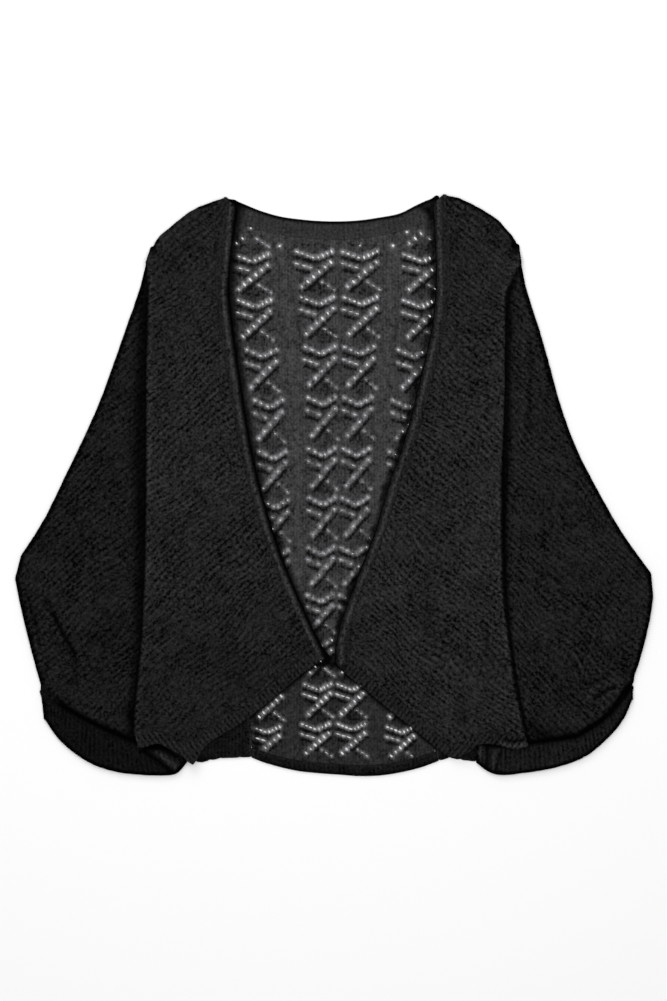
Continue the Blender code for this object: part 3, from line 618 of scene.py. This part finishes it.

# Strokes on the plain sides, painted highlights along edges and painted shadows beside them: points along the
# stroke, half width, rise in mm and change of brightness
BACK_STROKES = {
    "left": (
        (((-86.9, -242.0), (-86.9, -283.0)), 1.8, 0.3, 1.6),
        (((-79.0, -240.0), (-79.0, -283.0)), 3.0, 0.0, -0.5),
        (((-120.0, -284.0), (-96.0, -283.2)), 1.8, 0.0, 1.0),
        (((-146.0, -286.0), (-128.0, -284.0)), 3.0, 0.0, -0.5),
    ),
    "right": (
        (((106.5, -268.0), (107.4, -285.0)), 1.7, 0.3, 1.6),
    ),
}

# Edges of the plain sides that meet the cuffs
CUFF_CORNERS = {
    "left": ((-152.0, -264.0), (-152.0, -290.0)),
    "right": ((147.0, -262.0), (147.0, -290.0)),
}


def fine_copy(node, step, hidden_step, hidden):
    """Points in mm, triangles and edges of a solid's copy whose shown faces are cut into fine ones."""
    shape = bmesh.new()
    shape.from_mesh(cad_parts[node].data)
    bmesh.ops.remove_doubles(shape, verts=shape.verts, dist=1e-6)
    for _ in range(7):
        shape.normal_update()
        long_edges = []
        for edge in shape.edges:
            length = edge.calc_length() / MM
            if length > step:
                covered = all(hidden(face.normal, face.calc_center_median() / MM) for face in edge.link_faces)
                if length > (hidden_step if covered else step):
                    long_edges.append(edge)
        if not long_edges:
            break
        bmesh.ops.subdivide_edges(shape, edges=long_edges, cuts=1)
        bmesh.ops.triangulate(shape, faces=shape.faces)
    shape.verts.index_update()
    points = np.array([vert.co for vert in shape.verts]) / MM
    faces = np.array([[vert.index for vert in face.verts] for face in shape.faces])
    edges = np.array([[vert.index for vert in edge.verts] for edge in shape.edges])
    shape.free()
    return points, faces, edges


def smoothed(values, edges, rounds, pull=0.5):
    """Values at the points of a mesh, each drawn towards its neighbours' mean, a few times."""
    values = values.astype(float).reshape(len(values), -1)
    count = np.bincount(edges.ravel(), minlength=len(values))[:, None]
    for _ in range(rounds):
        total = np.column_stack([
            np.bincount(edges[:, 0], column[edges[:, 1]], len(values))
            + np.bincount(edges[:, 1], column[edges[:, 0]], len(values)) for column in values.T])
        values = values + pull * (total / count - values)
    return values


def unshrunk(values, edges, rounds=4):
    """Values smoothed without drawing the outline in."""
    for _ in range(rounds):
        values = smoothed(values, edges, 1, 0.5)
        values = smoothed(values, edges, 1, -0.53)
    return values


def point_normals(points, faces):
    """Outward direction at each point of a mesh."""
    a, b, c = (points[faces[:, k]] for k in range(3))
    across = np.cross(b - a, c - a)
    total = np.column_stack([
        sum(np.bincount(faces[:, k], across[:, axis], len(points)) for k in range(3)) for axis in range(3)])
    return total / np.maximum(np.linalg.norm(total, axis=1, keepdims=True), 1e-12)


def rim_distance(points, normals):
    """Distance in plan from each point to the outer edge of the piece's lowest face."""
    low = points[:, 2] < points[:, 2].min() + RIM_HEIGHT
    upright = points[low & (np.abs(normals[:, 2]) < 0.9)]
    tree = kdtree.KDTree(len(upright))
    for index, (px, py, _) in enumerate(upright.tolist()):
        tree.insert((px, py, 0.0), index)
    tree.balance()
    return np.array([tree.find((px, py, 0.0))[2] for px, py, _ in points.tolist()])


def rim_shade(rim):
    """Painted shade along an outer edge, where the yarn turns down."""
    return RIM_DARK + (1.0 - RIM_DARK) * soft_step(*RIM_REACH, rim)


def closing(line):
    """Growth in mm along a seam that would otherwise show as a slit."""
    def growth(x, y):
        return CLOSED_GROWTH * bell(line_distance(x, y, line), CLOSED_HALF_WIDTH)
    return growth


def stroked(x, y, strokes):
    """Height in mm, and the painted light and shade as brightness, that soft ridges, troughs and strokes give
    each point.
    """
    height = np.zeros(len(x))
    brightness = np.ones(len(x))
    for line, half_width, rise, change in strokes:
        soft = bell(line_distance(x, y, line), half_width)
        height += rise * soft
        brightness *= 1.0 + change * soft
    return height, brightness


def knitted_piece(node, name, steps, hidden, surface, growth=None):
    """A solid's copy, cut into faces of two steps in mm, where it shows and where it is hidden. It is
    softened, then raised along its outward direction by its own surface, which gives each point's rise,
    relief, shade and place in the knitting. Its edge reaches over the seam, and further by the growth."""
    points, faces, edges = fine_copy(node, *steps, hidden)
    points[:, :2] = unshrunk(points[:, :2], edges)
    points[:, 2:] = smoothed(points[:, 2:], edges, 3)
    ribs = points[:, 2] - smoothed(points[:, 2], edges, 14)[:, 0]
    normals = point_normals(points, faces)
    rise, relief, shade, course = surface(*points.T.copy(), ribs, rim_distance(points, normals))
    shown = soft_step(-0.25, 0.25, normals[:, 2])
    points += normals * (shown * rise)[:, None]
    points[:, 2] += (1.0 - shown) * 0.5 * np.abs(rise) * (points[:, 2] < 1.0)
    reach = np.full(len(points), SEAM_GROWTH)
    if growth:
        reach += growth(points[:, 0], points[:, 1])
    points[:, :2] += normals[:, :2] * reach[:, None]
    points[:, 2] = np.maximum(points[:, 2], 0.0)
    shade = shade * (WALL_SHADE + (1.0 - WALL_SHADE) * soft_step(0.1, 0.8, np.abs(normals[:, 2])))
    return cloth_mesh(name, points, faces, relief, shade, course)


def under(normal, place):
    """Faces on the floor."""
    return normal.z < -0.3


PLAIN_STEPS = (4.4, 12.0)
BACK_FLATS = {"left": ((0.100, 0.573), 0.0424), "right": ((0.080, 0.560), 0.0276)}
PLAIN_YARN = yarn("plain_back_yarn", 0.0006, 0.011, 3.6)

for side, (flat, area) in BACK_FLATS.items():
    node = "back_side_" + side

    def plain_surface(x, y, z, ribs, rim):
        loops = noise(x / 2.8, y / 3.4, 21) - 0.5
        rise, brightness = stroked(x, y, BACK_STROKES[side])
        rise += 0.5 * loops
        return rise, 0.5 + 0.5 * loops, brightness, (y, x, 0.5)

    piece = knitted_piece(node, "plain_back_" + side, PLAIN_STEPS, under, plain_surface,
                          closing(CUFF_CORNERS[side]))
    dress(piece, node, PLAIN_YARN)


# Neck band and hem rib
# The ribbed band across the back of the neck, folded and linked on, and the narrow rib along the lower
# edge of the back. Both are knitted in one with fine vertical ribs.

NECK_YARN = yarn("neck_rib_yarn", 0.012, 0.044, 4.0)
RIB_YARN = yarn("cuff_rib_yarn", 0.0006, 0.0125, 4.0)
NECK_STEPS = (1.8, 6.0)
RIB_STEPS = (1.6, 6.0)

# Ends of the neck band, and how far and how wide they reach in under the tops of the fronts
NECK_GROWTH = 1.0
NECK_HALF_WIDTH = 3.0
NECK_ENDS = ((-104.0, 292.0), (-104.0, 302.0)), ((105.0, 290.0), (106.0, 302.0))

# Arcs above which the neck band's outer edge has painted shade, and below which the hem rib's has: height in
# the middle, rise by the square of the distance from it, and x of the middle
NECK_ARC = (266.0, 0.0019, 0.0)
HEM_ARC = (-297.0, 0.0016, 15.0)

# Painted shadows in the pockets where the neck band goes under the fronts
NECK_STROKES = (
    (((90.0, 290.5), (97.5, 287.5)), 4.2, -0.3, -0.8),
    (((97.5, 287.5), (101.0, 279.0)), 2.4, -0.3, -0.7),
    (((-101.0, 292.0), (-93.0, 287.0)), 3.2, -0.2, -0.4),
)


def above(x, y, arc):
    """Height of each point above an arc."""
    return y - arc[0] - arc[1] * (x - arc[2]) ** 2


def neck_surface(x, y, z, ribs, rim):
    loops = noise(x / 2.2, y / 2.2, 31) - 0.5
    middle = np.abs(x) < 96.0
    upper = soft_step(0.0, 3.0, above(x, y, NECK_ARC))
    rise, brightness = stroked(x, y, NECK_STROKES)
    shade = brightness * (1.0 - upper * (1.0 - rim_shade(rim)))
    for side, rows in OPENING_SHADOWS.items():
        shade *= shadow(opening_distance(side, x, y), y, rows)
    relief = 0.5 + 0.35 * np.clip(ribs / 0.5, -1.0, 1.0) * middle + 0.3 * loops
    return rise + 0.3 * loops, relief, shade, (y, x, 0.35)


def hem_rib_surface(x, y, z, ribs, rim):
    loops = noise(x / 2.2, y / 2.2, 32) - 0.5
    lower = 1.0 - soft_step(-2.0, 1.0, above(x, y, HEM_ARC))
    shade = 1.0 - 0.8 * lower * (1.0 - rim_shade(rim))
    relief = 0.5 + 0.45 * np.clip(ribs / 0.4, -1.0, 1.0) + 0.5 * loops
    return 0.3 * loops, relief, shade, (y, x, 0.4)


def neck_growth(x, y):
    """Growth in mm at the ends of the neck band."""
    return sum(NECK_GROWTH * bell(line_distance(x, y, end), NECK_HALF_WIDTH) for end in NECK_ENDS)


neck_band = knitted_piece("neck_band_back", "neck_band", NECK_STEPS, under, neck_surface, neck_growth)
dress(neck_band, "neck_band_back", NECK_YARN)
hem_rib = knitted_piece("back_hem_rib", "back_hem", RIB_STEPS, under, hem_rib_surface)
dress(hem_rib, "back_hem_rib", RIB_YARN)


# Sleeves
# Wide batwing sleeves in slubby knit, its ridges at a slant, each folded flat along its outer edge. The
# inner edges lie tucked under the side folds of the fronts, where they are sewn to the armholes.

SLEEVES = {
    "left": {"slant": 42.0, "seed": 41, "tone": 1.04, "flat": (0.330, 0.520), "area": 0.0925},
    "right": {"slant": -44.0, "seed": 42, "tone": 1.22, "flat": (0.350, 0.520), "area": 0.1075},
}
SLEEVE_STEPS = (2.1, 10.0)
SLEEVE_INSIDE = 2.9
KNIT_PITCH = 6.0
KNIT_RELIEF = 1.1

# Side folds of the fronts
FOLD_COLUMNS = ("height", "left", "right")
SIDE_FOLDS = (
    (236.6, -195.8, 194.2), (218.6, -195.4, 188.6), (200.6, -194.7, 179.7), (160.6, -195.1, 178.4),
    (120.6, -195.6, 177.5), (80.6, -195.8, 176.7), (40.6, -196.2, 175.8), (0.6, -196.6, 175.1),
    (-39.4, -196.9, 175.8), (-79.4, -197.2, 176.7), (-119.4, -198.8, 178.4), (-159.4, -201.1, 183.6),
    (-199.4, -205.3, 188.8), (-239.4, -209.2, 196.5), (-261.4, -209.4, 201.5),
)

# Soft shadows of the side folds on the sleeves, in the columns of the shadows on the back
FOLD_SHADOWS = {
    "left": ((232.0, 0.75, 2.0, 14.0), (190.0, 0.17, 2.0, 17.0), (60.0, 0.18, 5.0, 22.0),
             (-100.0, 0.17, 4.0, 16.0), (-190.0, 0.28, 1.0, 12.0)),
    "right": ((232.0, 0.75, 2.0, 14.0), (190.0, 0.20, 2.0, 10.0), (60.0, 0.15, 4.0, 12.0),
              (-100.0, 0.12, 0.0, 8.0), (-190.0, 0.28, 0.0, 4.0)),
}

# Creases and soft ridges of the sleeves, with painted shade in the creases and pockets and painted light on
# the
# ridges: points along the line, half width, rise in mm, change of light
SLEEVE_STROKES = {
    "left": (
        (((-291.8, -133.7), (-280.7, -156.0), (-270.3, -173.9)), 2.6, -1.4, -0.9),
        (((-297.7, -117.4), (-291.8, -133.7)), 2.4, -0.9, -0.5),
        (((-270.3, -173.9), (-268.1, -184.3), (-268.8, -196.1), (-272.7, -206.2)), 3.2, -0.8, -0.5),
        (((-307.0, -124.8), (-294.9, -136.6), (-284.0, -160.0)), 3.4, 0.9, 0.25),
        (((-315.6, -126.2), (-311.1, -144.1), (-306.7, -163.5)), 2.2, -0.8, -0.5),
        (((-262.0, -166.0), (-258.0, -192.0), (-264.0, -214.0)), 5.0, 0.6, 0.12),
        (((-297.0, -180.0), (-303.0, -205.0)), 3.0, -0.8, -0.35),
        (((-215.0, -226.0), (-236.0, -240.0)), 5.0, -0.7, -0.2),
        (((-230.0, 40.0), (-222.0, -20.0)), 8.0, -0.5, -0.06),
        (((-212.0, -236.0), (-204.0, -262.0)), 5.5, -0.4, -0.8),
        (((-303.0, -214.0), (-285.0, -228.0), (-258.0, -244.0), (-232.0, -256.0)), 3.0, 0.6, 0.15),
    ),
    "right": (
        (((203.0, 156.0), (204.0, 110.0), (201.0, 60.0)), 2.6, -1.0, -0.4),
        (((197.4, 152.6), (197.4, 100.0), (194.0, 50.7)), 3.0, 0.8, 0.25),
        (((270.5, -221.4), (281.0, -214.0), (292.8, -207.9)), 1.9, -1.0, -0.85),
        (((264.6, -214.4), (278.0, -208.0), (292.8, -202.5)), 2.2, 0.8, 0.3),
        (((264.6, -207.9), (274.0, -202.0), (283.9, -197.6)), 2.2, -0.8, -0.55),
        (((275.0, -224.5), (286.0, -217.5), (298.7, -209.0)), 2.2, 0.8, 0.35),
        (((253.0, -213.0), (259.0, -206.0), (266.0, -200.0)), 3.0, -0.5, -0.25),
        (((240.0, -218.0), (214.0, -238.0)), 6.0, -0.6, -0.15),
        (((250.0, -252.0), (222.0, -258.0), (204.0, -262.0)), 5.0, 0.0, -0.3),
        (((206.0, -250.0), (222.0, -262.0)), 7.0, 0.0, -0.65),
    ),
}

# Seams with the cuffs, from the outer fold to the underarm, the painted shade beside them by the distance,
# how much of it fades towards the outer fold, and how much narrower the painted shade along the outer edge is
# there
CUFF_SEAMS = {
    "left": ((-305.0, -213.2), (-286.2, -226.6), (-258.1, -243.0), (-234.2, -254.4), (-212.8, -263.8),
             (-197.2, -269.8), (-182.8, -272.6), (-168.8, -270.8), (-158.8, -266.0)),
    "right": ((311.0, -204.0), (309.8, -208.6), (292.0, -230.6), (275.4, -246.8), (251.5, -260.8),
              (228.6, -264.0), (204.7, -267.0), (185.2, -269.6), (167.2, -269.8), (155.2, -267.8),
              (148.2, -265.0)),
}
SEAM_REACH = (0.0, 2.5, 5.0, 9.0)
SEAM_FADES = {"left": 0.75, "right": 0.0}
SEAM_NARROWING = 1.3
SLEEVE_SEAM_SHADE = (0.05, 0.34, 0.82, 1.0)


def fold_distance(side, x, y):
    """Distance out from the side fold of a front."""
    outward = -1.0 if side == "left" else 1.0
    return outward * (x - at_height(y, SIDE_FOLDS, FOLD_COLUMNS, side))


def edge_shade(side, x, y, rim, shades):
    """Shade beside a cuff's seam, which fades towards the outer fold, and along the outer edge."""
    from_seam = line_distance(x, y, CUFF_SEAMS[side])
    near = 1.0 - soft_step(3.0, 8.0, from_seam)
    faded = SEAM_FADES[side] * soft_step(280.0, 298.0, np.abs(x))
    seam = 1.0 - (1.0 - faded) * (1.0 - np.interp(from_seam, SEAM_REACH, shades))
    return seam * (1.0 - (1.0 - near * faded) * (1.0 - rim_shade(rim + SEAM_NARROWING * near)))


# Slubby knit in mm: slubs, lumps along and across its ridges, patches, calm places, and the ridges' sway
SLUB_SIZE = 3.0
LUMP_SIZE = (6.0, 4.6)
PATCH_SIZE = 30.0
CALM_SIZE = 24.0
SWAY_SIZE = 42.0
SWAY_REACH = 12.0


def slub_knit(x, y, slant, seed):
    """Relief from 0 to 1 of slubby knit, and the place along and across its slanted, swirling ridges."""
    sway_x = noise(x / SWAY_SIZE, y / SWAY_SIZE, seed) - 0.5
    sway_y = noise(x / SWAY_SIZE, y / SWAY_SIZE, seed + 1) - 0.5
    slant = math.radians(slant)
    along = x * math.cos(slant) + y * math.sin(slant) + SWAY_REACH * sway_x
    across = y * math.cos(slant) - x * math.sin(slant) + SWAY_REACH * sway_y
    slubs = noise(x / SLUB_SIZE, y / SLUB_SIZE, seed + 2) - 0.5
    lumps = noise(along / LUMP_SIZE[0], across / LUMP_SIZE[1], seed + 3) - 0.5
    patches = noise(x / PATCH_SIZE, y / PATCH_SIZE, seed + 4) - 0.5
    calm = soft_step(0.15, 0.7, noise(x / CALM_SIZE, y / CALM_SIZE, seed + 5))
    relief = np.clip(0.5 + 0.36 * slubs + 0.26 * lumps + 0.16 * patches, 0.0, 1.0)
    return relief, (along, across, 0.55 + 0.45 * calm)


def sleeve_hidden(normal, place):
    """Faces on the floor and inside the folded sleeve."""
    return normal.z < -0.3 or (normal.z > 0.7 and place.z < SLEEVE_INSIDE)


SLEEVE_YARN = yarn("sleeve_yarn", 0.0006, 0.0165, KNIT_PITCH)

for side, cut in SLEEVES.items():
    node = "sleeve_" + side

    def sleeve_surface(x, y, z, ribs, rim):
        relief, course = slub_knit(x, y, cut["slant"], cut["seed"])
        rise, brightness = stroked(x, y, SLEEVE_STROKES[side])
        shade = brightness * cut["tone"] * shadow(fold_distance(side, x, y), y, FOLD_SHADOWS[side])
        shade *= edge_shade(side, x, y, rim, SLEEVE_SEAM_SHADE)
        return rise + KNIT_RELIEF * (relief - 0.5), relief, shade, course

    piece = knitted_piece(node, "knit_sleeve_" + side, SLEEVE_STEPS, sleeve_hidden, sleeve_surface,
                          closing(CUFF_SEAMS[side]))
    dress(piece, node, SLEEVE_YARN)


# Cuffs
# Fine black rib, knitted as a tube and pressed flat, which gathers the end of each sleeve. The sleeve
# puffs out over the seam and shades it.

CUFF_INSIDE = 2.5
CUFF_FLATS = {"left": (0.310, 0.034), "right": (0.330, 0.028)}
CUFF_TONES = {"left": 0.66, "right": 1.30}
CUFF_SEAM_SHADE = (0.04, 0.24, 0.80, 1.0)
# Painted light on the rolls and gathers of the cuffs and painted shade in the creases between them: points
# along the line, half width, rise in mm and change of brightness
CUFF_STROKES = {
    "left": (
        (((-202.0, -276.7), (-184.6, -268.4), (-163.8, -281.9)), 2.0, -0.8, -0.9),
        (((-184.0, -277.0), (-165.0, -292.5)), 2.6, 0.6, 3.4),
        (((-197.0, -277.0), (-181.0, -288.0), (-170.0, -297.0)), 2.6, -0.6, -0.9),
    ),
    "right": (
        (((152.2, -271.7), (151.2, -282.1)), 2.6, 0.5, 1.2),
        (((142.0, -272.0), (146.0, -286.0)), 2.6, -0.6, -0.7),
        (((159.0, -272.0), (160.0, -290.0)), 2.2, -0.6, -0.7),
        (((168.3, -274.8), (165.3, -293.5)), 2.4, 0.5, 1.0),
        (((172.8, -278.0), (167.8, -297.0)), 1.6, -0.5, -0.7),
        (((190.0, -271.0), (200.0, -270.0)), 3.0, -0.3, -0.6),
    ),
}


def cuff_hidden(normal, place):
    """Faces on the floor and inside the flattened cuff."""
    return normal.z < -0.3 or (normal.z > 0.7 and place.z < CUFF_INSIDE)


for side, flat in CUFF_FLATS.items():
    node = "cuff_" + side

    def cuff_surface(x, y, z, ribs, rim):
        loops = noise(x / 2.2, y / 2.2, 51) - 0.5
        rise, brightness = stroked(x, y, CUFF_STROKES[side])
        shade = CUFF_TONES[side] * brightness * edge_shade(side, x, y, rim, CUFF_SEAM_SHADE)
        relief = 0.5 + 0.5 * np.clip(ribs / 0.4, -1.0, 1.0) + 0.4 * loops
        return rise + 0.35 * loops, relief, shade, (y, x, 0.3)

    piece = knitted_piece(node, "rib_cuff_" + side, RIB_STEPS, cuff_hidden, cuff_surface,
                          closing(CUFF_SEAMS[side]))
    dress(piece, node, RIB_YARN)


# Fronts
# The cutaway fronts, in the sleeves' slubby knit but coloured a little lighter. Each is folded
# at the side, where it rolls over the sleeve, and slopes down onto the back towards the opening.

FRONTS = {
    "left": {"slant": 41.0, "seed": 61, "flat": (0.210, 0.560), "area": 0.0643},
    "right": {"slant": -41.0, "seed": 62, "flat": (0.205, 0.560), "area": 0.0628},
}
# Creases and soft ridges of the fronts, with painted shade in most creases and painted light on the ridges:
# points along the line, half width, rise in mm and change of brightness
FRONT_STROKES = {
    "left": (
        (((-150.0, 262.0), (-172.0, 226.0)), 7.0, -0.5, -0.1),
        (((-188.0, 246.0), (-194.0, 232.0)), 6.0, -1.3, 0.0),
        (((-146.8, 250.4), (-134.4, 245.2)), 1.8, -0.4, -0.5),
        (((-196.0, -210.0), (-184.0, -256.0)), 6.0, -0.7, -0.2),
        (((-176.0, -120.0), (-168.0, -190.0)), 14.0, 0.5, 0.08),
        (((-120.0, -150.0), (-92.0, -212.0)), 12.0, -0.5, -0.12),
    ),
    "right": (
        (((96.5, -35.6), (97.0, -100.0), (96.5, -160.4)), 7.0, -1.1, -0.22),
        (((158.9, -146.9), (158.9, -168.8)), 2.2, -0.8, -0.6),
        (((163.0, -146.9), (163.0, -168.8)), 2.0, 0.4, 0.2),
        (((123.6, -222.8), (122.5, -238.4), (115.2, -254.0), (107.9, -262.4)), 2.2, 0.9, 0.3),
        (((130.0, -212.0), (134.0, -240.0), (130.0, -264.0)), 6.0, -1.0, -0.22),
        (((127.7, 263.9), (127.7, 247.2)), 1.6, -0.4, -0.4),
        (((184.0, 246.0), (192.0, 232.0)), 6.0, -1.3, 0.0),
        (((162.0, 255.6), (172.4, 247.2)), 1.8, -0.5, -0.6),
        (((118.0, 150.0), (124.0, 90.0)), 12.0, 0.5, 0.07),
    ),
}
FRONT_STEPS = (2.0, 10.0)
FRONT_UNDER_TOP = (8.1, 8.35)
FOLD_RIM_LIGHT = 0.3

# Brightness of each front by height
FRONT_TONE_COLUMNS = ("height", "left", "right")
FRONT_TONES = ((230.0, 0.97, 0.99), (60.0, 1.22, 1.26), (-90.0, 1.10, 1.24), (-200.0, 0.84, 1.10))

# How far each shoulder reaches out by height, so that it runs on smoothly into the sleeve's outer fold
SHOULDER_HEIGHTS = (225.0, 231.0, 240.0, 250.0, 258.0)
SHOULDER_GROWTH = {"left": (0.0, 2.6, 1.8, 0.8, 0.0), "right": (0.0, 4.3, 3.0, 1.7, 0.0)}

# How far inside a side fold the painted shade on its turn reaches, at each height
TURN_COLUMNS = ("height", "left", "right")
FOLD_TURNS = ((190.0, 2.6, 2.4), (100.0, 0.8, -0.4), (0.0, 2.2, 2.6), (-100.0, 1.6, 3.8), (-190.0, 2.4, 3.6))
TURN_SHADE = 0.12


def front_hidden(normal, place):
    """Faces underneath, against the back and the sleeve, and inside the side fold."""
    inside = FRONT_UNDER_TOP[0] < place.z < FRONT_UNDER_TOP[1]
    return normal.z < -0.3 or (normal.z > 0.7 and inside)


FRONT_YARN = yarn("front_yarn", 0.0008, 0.0240, KNIT_PITCH)

for side, cut in FRONTS.items():
    node = "front_" + side

    def front_surface(x, y, z, ribs, rim):
        relief, course = slub_knit(x, y, cut["slant"], cut["seed"])
        rise, brightness = stroked(x, y, FRONT_STROKES[side])
        inside_fold = -fold_distance(side, x, y)
        shade = brightness * (1.0 + FOLD_RIM_LIGHT * bell(inside_fold - 4.5, 2.2))
        turn = at_height(y, FOLD_TURNS, TURN_COLUMNS, side)
        lit = soft_step(turn - 1.6, turn + 1.6, inside_fold)
        shade *= 1.0 - (1.0 - TURN_SHADE) * (1.0 - lit) * (1.0 - soft_step(205.0, 232.0, y))
        shade *= at_height(y, FRONT_TONES, FRONT_TONE_COLUMNS, side)
        shoulder = soft_step(232.0, 250.0, y) * soft_step(119.0, 125.0, np.abs(x))
        shade *= 1.0 - shoulder * (1.0 - rim_shade(rim))
        return rise + KNIT_RELIEF * (relief - 0.5), relief, shade, course

    def shoulder_growth(x, y):
        return np.interp(y, SHOULDER_HEIGHTS, SHOULDER_GROWTH[side]) * (np.abs(x) > 150.0)

    piece = knitted_piece(node, "knit_front_" + side, FRONT_STEPS, front_hidden, front_surface,
                          shoulder_growth)
    dress(piece, node, FRONT_YARN)


# Opening bands and front hems
# Smooth close-knit bands, sewn along the opening and along the cutaway hems. The opening band rolls down
# at its free edge, with painted shade on the roll, and a raised rim runs along it inside the turn with a
# painted highlight.

BAND_STEPS = (2.0, 8.0)
HEM_STEPS = (1.7, 8.0)
ROLL_WIDTH = 4.2
ROLL_DROP = 1.2
ROLL_SHADES = {"left": 0.95, "right": 0.45}
RIM_PLACE = 5.9
BAND_TOP_GROWTH = 1.6
BAND_FLATS = {"left": ((0.018, 0.510), 0.0057), "right": ((0.018, 0.520), 0.0061)}
HEM_FLATS = {"left": ((0.255, 0.015), 0.0028), "right": ((0.245, 0.015), 0.0027)}
# Painted light on the rolled corner of the right hem and painted shade beside it: points along the line, half
# width, rise in mm and change of brightness
HEM_STROKES = {
    "left": (),
    "right": (
        (((173.0, -267.6), (186.0, -270.6), (197.0, -268.6)), 1.8, 0.3, 1.4),
        (((177.0, -263.0), (186.0, -265.6), (197.0, -263.8)), 1.6, -0.6, -0.9),
    ),
}
BAND_YARN = yarn("band_yarn", 0.0016, 0.0225, 3.6)

for side, (flat, area) in BAND_FLATS.items():
    node = "front_band_" + side

    def band_surface(x, y, z, ribs, rim):
        from_edge = -opening_distance(side, x, y)
        loops = noise(x / 2.6, y / 2.6, 71) - 0.5
        rolled = 1.0 - soft_step(0.8, ROLL_WIDTH, from_edge)
        light_rim = bell(from_edge - RIM_PLACE, 1.8)
        rise = 0.4 * loops + 0.4 * light_rim - ROLL_DROP * rolled
        shade = (1.0 + 1.6 * light_rim) * (1.0 - ROLL_SHADES[side] * rolled)
        return rise, 0.5 + 0.35 * loops, shade, (y, x, 0.3)

    def top_growth(x, y):
        return BAND_TOP_GROWTH * soft_step(294.0, 299.0, y)

    piece = knitted_piece(node, "opening_band_" + side, BAND_STEPS, under, band_surface, top_growth)
    dress(piece, node, BAND_YARN)

for side, (flat, area) in HEM_FLATS.items():
    node = "front_hem_" + side

    def hem_surface(x, y, z, ribs, rim):
        loops = noise(x / 2.6, y / 2.6, 72) - 0.5
        lean = 0.75 if side == "left" else -0.75
        hem_ribs = np.cos(2.0 * math.pi * (x + lean * y) / KNIT_PITCH)
        rise, brightness = stroked(x, y, HEM_STROKES[side])
        relief = 0.5 + 0.3 * loops + 0.26 * hem_ribs
        return rise + 0.4 * loops + 0.2 * hem_ribs, relief, brightness, (y, x, 0.3)

    piece = knitted_piece(node, "cutaway_hem_" + side, HEM_STEPS, under, hem_surface)
    dress(piece, node, BAND_YARN)
